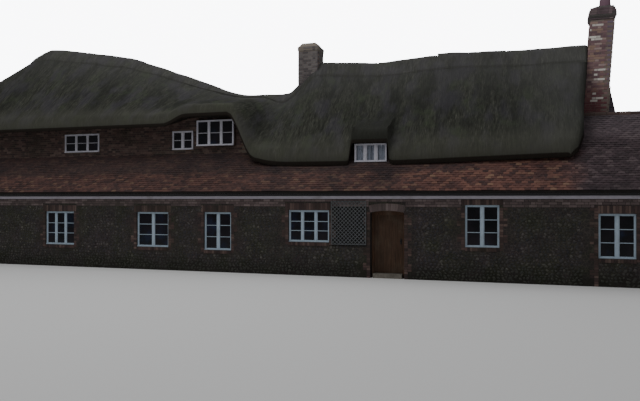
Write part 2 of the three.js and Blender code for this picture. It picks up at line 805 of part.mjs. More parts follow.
function addDoor() {
  const outer = box([doorX[0] - frameWide, doorX[1] + frameWide], frameY, [0, doorHead - touch]);
  const clearOpening = box(doorX, [frameY[0] - past, frameY[1] + past], [-past, doorHead - frameWide]);
  const stop = box(doorX, [frameY[0], frameY[0] + stopDeep], [0, doorHead - frameWide]);
  const inStopX = [doorX[0] + stopWide, doorX[1] - stopWide];
  const inStop = box(inStopX, [frameY[0] - past, frameY[1] + past], [-past, doorHead - frameWide - stopWide]);
  let frame = solid(outer).subtract(solid(clearOpening));
  frame = frame.add(solid(stop).subtract(solid(inStop)));
  place("door_frame", shown(frame), "oak");
  const leafZ = [thresholdTop + leafGap, doorHead - frameWide - leafGap];
  let leaf = solid(box(leafX, leafY, leafZ));
  for (const z of hingeHeights) {
    const zs = [z + touch, z + knuckleTall];
    const strap = box([pivot[0], leafX[0] + strapLong], [leafY[1] - 1, leafY[1] + strapThick], zs);
    leaf = leaf.add(solid(knuckle(...zs))).add(solid(strap));
  }
  place("door_leaf", shown(leaf), "door");
  hingeHeights.forEach((z, i) => {
    const zs = [z - knuckleTall, z];
    const flap = box([doorX[0] - flapLong, pivot[0]], [frameY[1] + touch, pivot[1] + 2], zs);
    place(`door_hinge_${i + 1}`, shown(solid(knuckle(...zs)).add(solid(flap))), "iron");
  });
  const sillX = [doorX[0] + stopWide + touch, doorX[1] - stopWide - touch];
  const sillY = [leanToFace + 20, leanToFace + leanToThick];
  place("door_threshold", box(sillX, sillY, [0, thresholdTop]), "stone");
  addLatch();
}

// A round knob on a plate, on the outer face of the leaf.
function addLatch() {
  const x = leafX[1] - 70;
  const face = leafY[0] - touch;
  const plate = box([x - 22, x + 22], [face - 6, face], [knobHeight - 80, knobHeight + 80]);
  const profile = [
    [0, 0],
    [11, 0],
    [11, 22],
    [26, 34],
    [28, 46],
    [20, 58],
    [0, 62],
  ];
  const knob = new THREE.LatheGeometry(profile.map(([r, h]) => new THREE.Vector2(r, h)), 16);
  knob.rotateX(Math.PI).translate(x, face - 5, knobHeight);
  place("door_latch", shown(solid(plate).add(solid(knob))), "iron");
}

// The diamond trellis: crossing slats within a thin edging, fused where they cross.
const trellisX = [2380, 3460];
const trellisZ = [970, 2270];
const trellisPitch = 82;
const slat = 16;
const spacer = 30;

function addTrellis() {
  const ys = [leanToFace - 30, leanToFace - 12];
  const wide = trellisX[1] - trellisX[0];
  const tall = trellisZ[1] - trellisZ[0];
  const middle = [(trellisX[0] + trellisX[1]) / 2, (trellisZ[0] + trellisZ[1]) / 2];
  const room = solid(box(trellisX, [ys[0], ys[1]], trellisZ));
  const hole = box(
    [trellisX[0] + slat, trellisX[1] - slat],
    [ys[0] - past, ys[1] + past],
    [trellisZ[0] + slat, trellisZ[1] - slat],
  );
  let panel = room.subtract(solid(hole));
  const reach = wide + tall;
  const slats = Math.floor(reach / 2 / (trellisPitch * Math.SQRT2)) + 1;
  for (const way of [-1, 1]) {
    for (let i = -slats; i <= slats; i++) {
      const bar = new THREE.BoxGeometry(reach, ys[1] - ys[0], slat);
      bar.translate(0, 0, i * trellisPitch).rotateY((way * Math.PI) / 4);
      bar.translate(middle[0], (ys[0] + ys[1]) / 2, middle[1]);
      panel = panel.add(solid(bar).intersect(room));
    }
  }
  for (const x of [trellisX[0], trellisX[1] - spacer]) {
    for (const z of [trellisZ[0], trellisZ[1] - spacer]) {
      panel = panel.add(solid(box([x, x + spacer], [ys[0], leanToFace - touch], [z, z + spacer])));
    }
  }
  place("trellis", shown(panel), "oak");
}

addFrontWalls();
addUpperWalls();
addGable();
addEndAndBackWalls();
addExtensionWalls();
addFloors();
addTimberFrame();
addThatch();
addTiles();
addRainwater();
addLeftStack(floorTop + touch);
addRightStack(floorTop + touch);
addWindows();
addDoor();
addTrellis();

export default cottage;
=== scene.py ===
import math
import random

import bmesh
import bpy
from mathutils import Matrix, Vector, noise


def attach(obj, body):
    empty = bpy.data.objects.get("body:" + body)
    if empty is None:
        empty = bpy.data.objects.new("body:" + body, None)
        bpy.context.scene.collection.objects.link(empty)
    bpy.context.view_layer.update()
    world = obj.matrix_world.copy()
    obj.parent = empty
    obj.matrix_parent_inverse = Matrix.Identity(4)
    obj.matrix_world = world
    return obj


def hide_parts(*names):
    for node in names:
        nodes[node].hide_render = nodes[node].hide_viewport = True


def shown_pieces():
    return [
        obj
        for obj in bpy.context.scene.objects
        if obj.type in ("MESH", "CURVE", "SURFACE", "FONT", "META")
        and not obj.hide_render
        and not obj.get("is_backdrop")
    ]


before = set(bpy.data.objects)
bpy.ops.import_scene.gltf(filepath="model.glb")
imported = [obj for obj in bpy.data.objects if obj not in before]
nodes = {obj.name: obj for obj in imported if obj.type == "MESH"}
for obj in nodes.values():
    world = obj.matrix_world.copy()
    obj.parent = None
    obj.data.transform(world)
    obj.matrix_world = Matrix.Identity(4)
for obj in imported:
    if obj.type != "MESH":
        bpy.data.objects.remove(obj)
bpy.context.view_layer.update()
scene = bpy.context.scene
print("stage: frame loaded,", len(nodes), "nodes")

# Camera, light and the one panel whose place the wall finishes need
trellis = {
    "x": (2.38, 3.46), "z": (0.97, 2.27), "y": -3.484, "wallY": -3.4503, "slat": 0.016, "thick": 0.008,
    "pitch": 0.082, "edge": 0.016,
}
view = {"place": (8.1, -22.15, 2.33), "turn": (90, 0, 18), "lens": 36.56, "shiftY": -0.0023}
light = {
    "sky": 9.5, "fill": 0.24, "floor": (0.8, 0.8, 0.79), "dull": 1.5,
    "lamps": {"key": ((-4, -14, 22), (0, 0, 2), 14, 1450), "over": ((0, 2, 30), (0, 0, 0), 40, 3400)},
}

lens = bpy.data.cameras.new("camera")
lens.lens = view["lens"]
lens.sensor_width = 36
lens.shift_y = view["shiftY"]
lens.clip_end = 300
camera = bpy.data.objects.new("camera", lens)
camera.location = view["place"]
camera.rotation_euler = [math.radians(a) for a in view["turn"]]
scene.collection.objects.link(camera)
scene.camera = camera


# One socket of a material, so that sums on values read as Python
class Wire:
    def __init__(self, tree, socket=None):
        self.tree = tree
        self.socket = socket

    def node(self, kind, settings, inputs, out=0):
        made = self.tree.nodes.new("ShaderNode" + kind)
        for name, value in settings.items():
            if name == "stops":
                ramp = made.color_ramp.elements
                ramp.remove(ramp[1])
                for i, (at, colour) in enumerate(value.items()):
                    stop = ramp[0] if i == 0 else ramp.new(at)
                    stop.position = at
                    stop.color = colour
            else:
                setattr(made, name, value)
        for name, value in inputs.items():
            if isinstance(value, Wire):
                self.tree.links.new(value.socket, made.inputs[name])
            else:
                made.inputs[name].default_value = value
        return Wire(self.tree, made.outputs[out])

    def sum(self, operation, first, second):
        return self.node("Math", {"operation": operation}, {0: first, 1: second})

    def __add__(self, other):
        return self.sum("ADD", self, other)

    def __sub__(self, other):
        return self.sum("SUBTRACT", self, other)

    def __rsub__(self, other):
        return self.sum("SUBTRACT", other, self)

    def __mul__(self, other):
        return self.sum("MULTIPLY", self, other)

    __radd__ = __add__
    __rmul__ = __mul__

    def noise(self, scale, detail=3.0, rough=0.5):
        values = {"Vector": self, "Scale": scale, "Detail": detail, "Roughness": rough}
        return self.node("TexNoise", {}, values)

    def streaks(self, x, y, z, detail=3.0, rough=0.5):  # noise drawn out along an axis
        return self.node("Mapping", {}, {"Vector": self, "Scale": (x, y, z)}).noise(1.0, detail, rough)

    def ramp(self, stops):
        return self.node("ValToRGB", {"stops": stops}, {"Fac": self})

    def within(self, low, high):  # 0 below low, 1 above high, smooth between
        limits = {"Value": self, "From Min": low, "From Max": high}
        return self.node("MapRange", {"interpolation_type": "SMOOTHSTEP"}, limits)

    def axis(self, name, *limits):  # a coordinate, or how far it is between two limits
        value = self.node("SeparateXYZ", {}, {0: self}, "XYZ".index(name))
        return value.within(*limits) if limits else value

    def attribute(self, name):
        return self.node("Attribute", {"attribute_name": name}, {}, "Fac")

    def mix(self, first, second, blend="MIX", factor=None):  # this value is the factor unless one is given
        values = {0: self if factor is None else factor, 6: first, 7: second}
        return self.node("Mix", {"data_type": "RGBA", "blend_type": blend}, values, 2)

    def times(self, colour):
        return self.mix(self, colour, "MULTIPLY", 1.0)


def tone(digits):  # a colour picked in dull light, as hex digits, made Blender's linear colour
    shades = [int(digits[i:i + 2], 16) for i in (0, 2, 4)]
    linear = [((c / 255 + 0.055) / 1.055) ** 2.4 if c > 10 else c / 3295 for c in shades]
    return (*[min(0.9, light["dull"] * c) for c in linear], 1.0)


def toned(look):  # every colour in a look or a ramp
    if isinstance(look, dict):
        return {key: toned(value) for key, value in look.items()}
    return tone(look) if isinstance(look, str) else look


def startFinish(name, rough, gloss=0.5, **fixed):
    material = bpy.data.materials.new(name)
    material.use_nodes = True
    shader = material.node_tree.nodes["Principled BSDF"]
    for socket, value in {"Roughness": rough, "Specular IOR Level": gloss, **fixed}.items():
        shader.inputs[socket].default_value = value
    return material, Wire(material.node_tree).node("TexCoord", {}, {}, "Object")


def endFinish(material, links, height, strength, distance):
    links["Normal"] = height.node("Bump", {}, {"Height": height, "Strength": strength, "Distance": distance})
    for name, wire in links.items():
        material.node_tree.links.new(wire.socket, material.node_tree.nodes["Principled BSDF"].inputs[name])
    return material


# Straw: streaks that run down the slope, stains, moss, paler eaves, a darker lid over the dormer, painted
# shade along the right-hand verge, and painted shade on the underside and down the lower part of each cut
# edge
def strawFinish(name, look):
    material, spot = startFinish(name, 0.95, 0.15)
    fine = spot.streaks(62, 5, 5, 5, 0.65)
    tufts = spot.streaks(15, 2.2, 2.2, 4, 0.6)
    clumps = spot.streaks(6, 1.7, 1.7, 4, 0.6).within(0.5, 0.66)
    stains = spot.streaks(2.4, 0.55, 0.55, 4, 0.6).within(0.42, 0.68)
    bands = spot.streaks(2.2, 0.3, 0.3, 4, 0.6).within(0.48, 0.66)
    cool = spot.streaks(1.6, 0.8, 0.8, 4).within(0.45, 0.65)
    patches = spot.node("Mapping", {}, {"Vector": spot, "Scale": (1, 0.6, 0.6)})
    mossy = patches.noise(1.7, 7, 0.7).within(0.5, 0.72)
    moss = (mossy * look["moss"]) * (0.45 + spot.noise(0.35, 3))
    high = spot.axis("Y", *look["highFront"]) * (1 - spot.axis("Y", *look["highBack"]))
    upright = 1 - spot.node("NewGeometry", {}, {}, "Normal").axis("Z", 0.05, 0.6)
    colour = fine.ramp({0.28: look["dark"], 0.52: look["mid"], 0.78: look["light"]})
    colour = tufts.within(0.35, 0.7).mix(colour, (0.5, 0.5, 0.48, 1), "MULTIPLY")
    for share, second in (
        (clumps * 0.55, "dark"), (stains * look["stain"], "dark"), (bands * look["bands"], "dark"),
        (cool * 0.38, "cool"), (moss, "green"), (high * look["bleach"], "bleached"),
        (spot.axis("X", *look["windward"]) * 0.28, "bleached"),
        ((1 - spot.axis("Y", *look["eaves"])) * look["trim"], "trimmed"), (upright * look["trim"], "trimmed"),
        # Next: darker over the dormer's lid with painted shade along the right-hand verge; then the under
        # colour as painted shade on the underside and the lower part of each cut edge
        (spot.attribute("darkLidShadedVerge") * 0.75, "dark"), (spot.attribute("below").within(*look["belowAt"]), "under"),
    ):
        colour = share.mix(colour, look[second])
    return endFinish(material, {"Base Color": colour}, fine * 0.5 + tufts + moss * 0.4, 0.9, 0.03)


# Fired clay laid in pieces: each piece's own shade, soot, lichen, and on the tiles painted shade towards the
# left-hand end and a painted shadow below the thatch's eaves
def clayFinish(name, look):
    material, spot = startFinish(name, 0.88, 0.25)
    shade = spot.attribute("shade")
    grain = spot.noise(55, 4, 0.6)
    colour = shade.ramp(look["stops"])
    if "farStops" in look:  # another batch of tiles beyond a place along the roof; on the shaft, a darker purple strip down its right-hand side
        start, end = look["farAt"]
        far = (spot.axis("X") + spot.noise(0.9, 3) * (end - start)).within(start, end)
        colour = far.mix(colour, shade.ramp(look["farStops"]))
    if "crest" in look:
        colour = (far * spot.axis("Z", *look["crestAt"]) * 0.5).mix(colour, look["crest"])
        # painted shade over the tiles' left-hand end, with a ragged edge
        shaded = 1 - (spot.axis("X") + spot.noise(0.7, 3) * 2 - 1).within(*look["shaded"])
        colour = (shaded * 0.45).mix(colour, look["dark"])
        # painted shadow on the tiles just below the thatch's front eaves, fading out towards the right
        drip = spot.axis("Y", *look["drip"]) * (1 - spot.axis("X", *look["dripEnd"]))
        colour = (drip * 0.6).mix(colour, look["dark"])
    colour = (grain.within(0.35, 0.7) * 0.5).mix(colour, look["dust"])
    soot = spot.noise(look["sootScale"], 5, 0.6).within(0.45, 0.75) * look["soot"]
    colour = soot.mix(colour, look["dark"])
    lichen = spot.noise(9, 6, 0.75).within(0.62, 0.7) * look["lichen"]
    colour = lichen.mix(colour, look["grey"])
    if "foot" in look:
        foot = 1 - (spot.axis("Z") + spot.noise(1.8, 4) * 0.5 - 0.25).within(*look["foot"])
        colour = (foot * 0.8).mix(colour, look["footColour"])
    if "pale" in look:
        colour = spot.attribute("pale").mix(colour, look["pale"])
    return endFinish(material, {"Base Color": colour}, grain + spot.noise(140, 2) * 0.4, 0.35, 0.006)


def patchy(spot, colour):  # wall patches that lean to purple or to green, and painted shade on the wall behind the trellis
    tints = {0.34: (0.9, 0.97, 0.82, 1), 0.5: (0.98, 0.95, 0.97, 1), 0.66: (1, 0.88, 1, 1)}
    shades = {0.35: (0.72, 0.72, 0.72, 1), 0.65: (1, 1, 1, 1)}
    colour = colour.times(spot.noise(1.5, 4, 0.6).ramp(tints)).times(spot.noise(2.6, 4, 0.6).ramp(shades))
    (x0, x1), (z0, _) = trellis["x"], trellis["z"]
    # painted shade on the wall behind the trellis, on the front only
    trellisShade = spot.axis("X", x0 - 0.05, x0 + 0.05) * (1 - spot.axis("X", x1 - 0.05, x1 + 0.05))
    trellisShade = trellisShade * spot.axis("Z", z0 - 0.1, z0) * (1 - spot.axis("Y", -3.4, -3.3))
    return (trellisShade * 0.75).mix(colour, tone("101011"))


def flintFinish(name, look):  # dark knapped faces, brown rinds and pale crusts
    material, spot = startFinish(name, 0.6, 0.4)
    mottle = spot.noise(26, 5, 0.65)
    colour = (spot.attribute("shade") * 0.8 + mottle * 0.3 - 0.05).ramp(look["stops"])
    colour = (spot.noise(60, 4).within(0.58, 0.7) * 0.45).mix(colour, look["crust"])
    colour = (spot.noise(0.8, 5, 0.65).within(0.45, 0.68) * 0.6).mix(colour, look["moss"])
    colour = patchy(spot, colour)
    damp = (1 - (spot.axis("Z") + spot.noise(1.4, 4) * 0.5).within(0.35, 0.9)) * 0.75
    links = {"Base Color": damp.mix(colour, look["moss"]), "Roughness": 0.45 + mottle * 0.4}
    return endFinish(material, links, mottle, 0.4, 0.008)


def rubbleFinish(name, look):  # small stones in lime mortar, for wall faces and reveals
    material, spot = startFinish(name, 0.95, 0.15)
    squat = spot.node("Mapping", {}, {"Vector": spot, "Scale": (1, 1, 1.2)})
    gap = spot.node("TexVoronoi", {"feature": "DISTANCE_TO_EDGE"}, {"Vector": squat, "Scale": 11}, "Distance")
    stone = gap.within(0.03, 0.09)
    grain = spot.noise(90, 4, 0.7)
    colour = (grain.within(0.3, 0.7) * 0.5).mix(look["mortar"], look["stone"])
    colour = (stone * 0.8).mix(colour, look["stone"])
    damp = (1 - (spot.axis("Z") + spot.noise(3, 2) * 0.6).within(0.35, 1.0)) * 0.7
    colour = patchy(spot, damp.mix(colour, look["dark"]))
    return endFinish(material, {"Base Color": colour}, stone * 0.8 + grain * 0.3, 0.5, 0.02)


def brickworkFinish(name, look):  # for backs and reveals of brick walls, and the mortar between laid bricks
    material, spot = startFinish(name, 0.95, 0.15)
    flat = spot.node("CombineXYZ", {}, {0: spot.axis("X") + spot.axis("Y"), 1: spot.axis("Z")})
    laid = {"Vector": flat, "Scale": 1.0, "Brick Width": 0.225, "Row Height": 0.075, "Mortar Size": 0.006,
            "Color1": look["brick"], "Color2": look["mortar"], "Mortar": look["mortar"]}
    pattern, mask = [spot.node("TexBrick", {}, laid, out) for out in ("Color", "Fac")]
    grain = spot.noise(70, 4, 0.7)
    colour = (grain.within(0.3, 0.75) * 0.45).mix(pattern, tone("3c3630"))
    return endFinish(material, {"Base Color": colour}, grain * 0.5 - mask * 0.8, 0.4, 0.01)


def plainFinish(name, changes):  # paint, mortar, iron and stone: a colour, blotches, grain and wear; on the dark panes the blotches are painted reflection
    look = {**plainLook, **changes}
    fixed = {"Metallic": look["metal"], "Alpha": look["alpha"]}
    material, spot = startFinish(name, look["rough"], look["gloss"], **fixed)
    stretched = spot.node("Mapping", {}, {"Vector": spot, "Scale": look["stretch"]})
    grain = stretched.noise(look["scale"], 5, 0.6)
    blotch = spot.noise(look["blotchScale"], 4, 0.6)
    colour = grain.within(0.3, 0.7).mix(look["colour"], look["second"])
    colour = (blotch.within(0.5, 0.75) * look["dirt"]).mix(colour, look["dirtColour"])
    links = {"Base Color": colour, "Roughness": look["rough"] + blotch * 0.2 - 0.1}
    return endFinish(material, links, grain, look["bump"], look["deep"])


def timberFinish(name, look):  # grain along one axis, checks and grey weathering
    material, spot = startFinish(name, 0.75, 0.3)
    grain = spot.streaks(*look["along"], 6, 0.65)
    rings = spot.streaks(*[a * 0.25 for a in look["along"]], 3, 0.5)
    colour = grain.ramp({0.25: look["dark"], 0.6: look["mid"], 0.85: look["light"]})
    colour = (rings.within(0.45, 0.7) * 0.4).mix(colour, look["dark"])
    colour = (spot.noise(2.1, 4).within(0.45, 0.7) * look["worn"]).mix(colour, look["grey"])
    return endFinish(material, {"Base Color": colour}, grain, 0.5, 0.006)


# In both straw looks the under colour is painted shade, for the underside and the lower part of each cut edge
strawLook = {
    "dark": "1e1f1c", "mid": "373832", "light": "54544b", "stain": 0.6, "bands": 0.5, "moss": 0.7,
    "green": "363c2e", "cool": "3c3941", "under": "221e1a", "belowAt": (0.42, 0.58), "eaves": (-2.65, -1.9),
    "trim": 0.4, "trimmed": "46463e", "highFront": (-1.6, 0.2), "highBack": (0.9, 2.6),
    "windward": (7.0, 9.2), "bleach": 0.25, "bleached": "50504e",
}
brickLook = {
    "stops": {0: "2c2425", 0.35: "3d302e", 0.7: "4a3a37", 1: "60504a"}, "dust": "3c3532", "dark": "23221c",
    "sootScale": 1.3, "soot": 0.75, "lichen": 0.6, "grey": "525246",
}
plainLook = {
    "rough": 0.9, "gloss": 0.5, "metal": 0.0, "alpha": 1.0, "stretch": (1, 1, 1), "scale": 4,
    "blotchScale": 3, "dirt": 0.4, "bump": 0.15, "deep": 0.004,
}
paintLook = {"rough": 0.45, "stretch": (12, 12, 3), "blotchScale": 2.5}
looks = {
    strawFinish: {
        "straw": strawLook,
        "strawCap": {
            **strawLook, "dark": "242422", "mid": "3e3e39", "light": "585851", "stain": 0.55, "bands": 0.4,
            "green": "383d30", "cool": "423f46", "under": "1e1e1b", "belowAt": (0.6, 1.0), "trim": 0.3,
            "trimmed": "464640", "bleached": "525250",
        },
    },
    clayFinish: {
        "tileClay": {
            "stops": {0: "342424", 0.3: "4e3430", 0.6: "5f3f38", 0.85: "6a483e", 1: "785e4c"},
            "farAt": (9.15, 10.0), "farStops": {0: "282227", 0.4: "352c31", 0.75: "42373c", 1: "52484a"},
            "dust": "4a3e39", "dark": "241f21", "sootScale": 0.9, "soot": 0.75, "crest": "5c545a",
            "crestAt": (3.7, 4.8), "shaded": (3.6, 5.9), "drip": (-3.0, -2.84), "dripEnd": (5.8, 8.0),
            "lichen": 0.5, "grey": "626056",
        },
        "brickRed": brickLook,
        "brickBand": {
            **brickLook, "stops": {0: "423838", 0.5: "544747", 1: "6e615f"}, "dust": "524b49",
            "dark": "322f2a", "soot": 0.5, "lichen": 0.8, "grey": "626058",
        },
        "brickStack": {
            **brickLook, "stops": {0: "564248", 0.3: "705458", 0.55: "826664", 0.8: "8e7462", 1: "9e8a86"},
            "farAt": (10.39, 10.44), "farStops": {0: "5c5060", 1: "706274"}, "dust": "7c6c6e",
            "dark": "504044", "soot": 0.5, "pale": "cec8c0", "foot": (5.3, 6.1), "footColour": "683c40",
            "lichen": 0.4, "grey": "807c74",
        },
        "brickHead": {
            **brickLook, "stops": {0: "4e4046", 0.5: "68575c", 1: "807070"}, "dust": "605456",
            "dark": "3e3a38", "soot": 0.6, "grey": "5e5a52",
        },
        "brickMossy": {
            **brickLook, "stops": {0: "2c2826", 0.5: "3a322e", 1: "483e38"}, "dust": "38352f",
            "dark": "22221d", "soot": 0.9, "grey": "3e4032",
        },
        "brickDark": {**brickLook, "stops": {0: "2e2832", 1: "463c46"}, "dust": "3e383e"},
        "brickOld": {
            **brickLook, "stops": {0: "444043", 0.5: "585454", 1: "6e6967"}, "dust": "5a5655",
            "dark": "3e3b3c", "soot": 0.5, "lichen": 0.7, "grey": "68685c",
        },
        "ridgeClay": {**brickLook, "soot": 0.8},
        "potClay": {
            **brickLook, "stops": {0: "725864", 1: "846c74"}, "dust": "746068", "dark": "54404a", "soot": 0.5,
            "grey": "786e70",
        },
    },
    flintFinish: {
        "flint": {
            "stops": {0: "1c1c20", 0.45: "2f2d2f", 0.8: "403d3a", 0.95: "585550", 1: "86847c"},
            "crust": "605c5a", "moss": "282a22",
        },
    },
    rubbleFinish: {"rubble": {"mortar": "46433c", "stone": "2f2d2c", "dark": "23231f"}},
    brickworkFinish: {
        "brickwork": {"mortar": "5c564e", "brick": "544039"},
        "stackBack": {"mortar": "80766e", "brick": "705c58"},
    },
    plainFinish: {
        "headMortar": {
            "colour": "504c49", "second": "3e3b39", "rough": 0.95, "scale": 30, "blotchScale": 5, "dirt": 0.6,
            "dirtColour": "32342c", "bump": 0.6,
        },
        "stackMortar": {
            "colour": "7a7268", "second": "605850", "scale": 40, "dirt": 0.7, "dirtColour": "424236",
            "bump": 0.5, "deep": 0.01,
        },
        # The windows' white is darkened and blued as painted shade; the fascia's is darkened as painted
        # shadow under the gutter
        "whitePaint": {**paintLook, "colour": "94a2ae", "second": "8694a0", "dirtColour": "686e6e"},
        "dormerPaint": {**paintLook, "colour": "acaab2", "second": "9c9ca4", "dirtColour": "747474"},
        "fasciaPaint": {
            "colour": "a09ba4", "second": "908b94", "rough": 0.5, "stretch": (2, 12, 12), "blotchScale": 1.6,
            "dirt": 0.5, "dirtColour": "706c6c",
        },
        "blackIron": {
            "colour": "0b0b0d", "second": "121214", "rough": 0.5, "metal": 0.2, "scale": 60, "blotchScale": 5,
            "dirtColour": "1e1b19", "bump": 0.2,
        },
        "flags": {
            "colour": "646058", "second": "544f48", "rough": 0.8, "scale": 12, "blotchScale": 1.3,
            "dirt": 0.5, "dirtColour": "3e3a32", "bump": 0.3, "deep": 0.006,
        },
        # panes: near black as painted shade of the dark rooms behind, with deep blue blotches of painted
        # reflection
        "paneGlass": {
            "colour": "05080b", "second": "171319", "rough": 0.1, "gloss": 0.22, "scale": 1.3,
            "blotchScale": 1.7, "dirt": 0.7, "dirtColour": "16223a", "bump": 0.05,
        },
        "clearGlass": {
            "colour": "3c4654", "second": "485260", "rough": 0.08, "alpha": 0.1, "scale": 2, "blotchScale": 5,
            "dirt": 0.1, "dirtColour": "606870", "bump": 0.04,
        },
        "linen": {
            "colour": "9ea2ac", "second": "868c98", "stretch": (2, 2, 1), "scale": 90, "dirtColour": "787e8a",
            "bump": 0.2,
        },
        "underlay": {
            "colour": "1a1817", "second": "221f1d", "rough": 0.95, "scale": 20, "dirtColour": "141413",
            "bump": 0.3,
        },
    },
    timberFinish: {
        "oak": {
            "along": (3, 28, 28), "dark": "30261e", "mid": "524234", "light": "6e5c4a", "worn": 0.4,
            "grey": "686258",
        },
        "frameOak": {
            "along": (40, 40, 3), "dark": "281c14", "mid": "4a3426", "light": "624836", "worn": 0.3,
            "grey": "5c544a",
        },
        # the door's own dark brown, darkened further as painted shade of its recess
        "doorBrown": {
            "along": (48, 48, 2.5), "dark": "241b14", "mid": "423024", "light": "574333", "worn": 0.3,
            "grey": "544c40",
        },
        "trellisGrey": {
            "along": (30, 30, 30), "dark": "424446", "mid": "5d5f62", "light": "74767a", "worn": 0.4,
            "grey": "505450",
        },
        "boards": {
            "along": (3, 26, 26), "dark": "4e3c2a", "mid": "7a6248", "light": "967e60", "worn": 0.3,
            "grey": "787062",
        },
    },
}
finish = {name: make(name, toned(look)) for make, group in looks.items() for name, look in group.items()}
print("stage: finishes made")


# Mesh helpers
def addBox(bm, low, high, bevel=0.0, segments=1):
    verts = bmesh.ops.create_cube(bm, size=1)["verts"]
    bmesh.ops.scale(bm, vec=[b - a for a, b in zip(low, high)], verts=verts)
    bmesh.ops.translate(bm, vec=[(a + b) / 2 for a, b in zip(low, high)], verts=verts)
    if bevel:
        edges = list({e for v in verts for e in v.link_edges})
        kind = {"segments": segments, "profile": 0.5, "affect": "EDGES", "material": -1}
        bmesh.ops.bevel(bm, geom=edges, offset=bevel, **kind)


def addGrid(bm, columns, rows):  # each point of a grid with its column and row
    bmesh.ops.create_grid(bm, x_segments=columns - 1, y_segments=rows - 1, size=1)
    place = [(v, (v.co.x + 1) / 2 * (columns - 1), (v.co.y + 1) / 2 * (rows - 1)) for v in bm.verts]
    return [(v, round(i), round(j)) for v, i, j in place]


def faceOut(bm):
    bmesh.ops.recalc_face_normals(bm, faces=bm.faces[:])


def secondSkin(bm):  # the points of a copy of every face, joined to the first all round
    made = bmesh.ops.extrude_face_region(bm, geom=bm.faces[:], use_keep_orig=True)["geom"]
    return [v for v in made if isinstance(v, bmesh.types.BMVert)]


def keepShape(bm, name, *attributes):  # a small shape that is stamped many times
    shape = bpy.data.meshes.new(name)
    bm.to_mesh(shape)
    bm.free()
    for attribute in attributes:
        shape.attributes.new(attribute, "FLOAT", "POINT")
    return shape


def stamp(bm, shape, place, values):
    one = shape.copy()
    one.transform(place)
    for name, value in values.items():
        one.attributes[name].data.foreach_set("value", [value] * len(one.vertices))
    bm.from_mesh(one)
    bpy.data.meshes.remove(one)


def join(bm, part):
    shape = keepShape(part, "part")
    bm.from_mesh(shape)
    bpy.data.meshes.remove(shape)


def dress(mesh, look):
    mesh.materials.clear()
    mesh.materials.append(finish[look])


def addPiece(bm, name, look, replaced=(), body="house", smooth=None):
    mesh = bpy.data.meshes.new(name)
    bm.to_mesh(mesh)
    bm.free()
    dress(mesh, look)
    if smooth is not None:
        mesh.shade_smooth()
        mesh.set_sharp_from_angle(angle=math.radians(smooth))
    piece = bpy.data.objects.new(name, mesh)
    scene.collection.objects.link(piece)
    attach(piece, body)
    if replaced:
        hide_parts(*replaced)
    return piece


# The way each wall faces: along it to the right as seen from outside, and inwards
sides = {
    "front": ((1, 0, 0), (0, 1, 0)), "back": ((-1, 0, 0), (0, -1, 0)), "left": ((0, -1, 0), (1, 0, 0)),
    "right": ((0, 1, 0), (-1, 0, 0)),
}


def facing(side, at):  # a wall's plane, and whether its own measure runs with or against the frame's axis
    along, inward = sides[side]
    rows = [[along[i], inward[i], (0, 0, 1)[i], at * abs(inward[i])] for i in range(3)]
    return Matrix(rows + [[0, 0, 0, 1]]), sum(along)


def clamp(value, low=0.0, high=1.0):
    return max(low, min(high, value))


def lerp(a, b, t):
    return a + (b - a) * t


def ease(t):
    t = clamp(t)
    return t * t * (3 - 2 * t)


# Heights of the thatch, from the same stations as the solids
roof = {
    "ridgeY": 0.55, "frontY": -2.7, "backY": 3.6026, "leftX": -12.9, "rightX": 9.84, "drawFrom": 8.2,
    "deep": 0.52, "tip": 0.39, "out": 0.65, "hipX": -11.3, "hipTop": 8.62, "hipFall": 1.08,
    "lidX": 3.37, "lidHalf": 0.56, "lidEase": 0.13, "lidTight": 0.06, "lidLift": 0.625, "lidDeep": 1.15,
    "ridge": [
        (-11.3, 8.62), (-8.7, 8.24), (-7.4, 8.01), (-5.1, 7.26), (-3.8, 6.78), (-2.87, 6.4), (-1.9, 6.2),
        (-0.9, 6.2), (-0.5, 6.225), (-0.07, 6.55), (0.75, 7.275), (3.0, 7.15), (5.1, 7.265), (7.6, 7.205),
        (9.79, 7.215),
    ],
    "front": [
        (-3.9, 5.18), (-3.0, 5.48), (-1.45, 5.48), (-0.5, 3.96), (0.8, 3.82), (3.8, 3.813), (6.5, 3.873),
        (9.0, 3.94), (9.79, 3.95),
    ],
    "back": [(-5.4, 5.18), (-3.2, 3.95)],
    "verge": [(0.0, 9.15), (0.15, 9.37), (0.65, 9.545), (1.5, 9.6), (3.25, 9.84)],
}


def curveThrough(stations, x):
    if x <= stations[0][0]:
        return stations[0][1]
    if x >= stations[-1][0]:
        return stations[-1][1]
    i = next(k for k, (at, _) in enumerate(stations) if at > x)

    def slope(k):
        return (stations[k][1] - stations[k - 1][1]) / (stations[k][0] - stations[k - 1][0])

    def tangent(k):
        if k in (0, len(stations) - 1) or slope(k) * slope(k + 1) <= 0:
            return 0
        return 2 * slope(k) * slope(k + 1) / (slope(k) + slope(k + 1))

    (x0, z0), (x1, z1) = stations[i - 1], stations[i]
    t = (x - x0) / (x1 - x0)
    lean = tangent(i - 1) * t * (1 - t) ** 2 + tangent(i) * t * t * (t - 1)
    return z0 + (z1 - z0) * ease(t) + (x1 - x0) * lean


def vergeAt(y):
    front = 2 * roof["ridgeY"] - y if y > roof["ridgeY"] else y
    at = clamp(front - roof["frontY"], 0, roof["ridgeY"] - roof["frontY"])
    stations = roof["verge"]
    i = max(1, next(k for k, (d, _) in enumerate(stations) if d >= at))
    (d0, x0), (d1, x1) = stations[i - 1], stations[i]
    return lerp(x0, x1, (at - d0) / (d1 - d0))


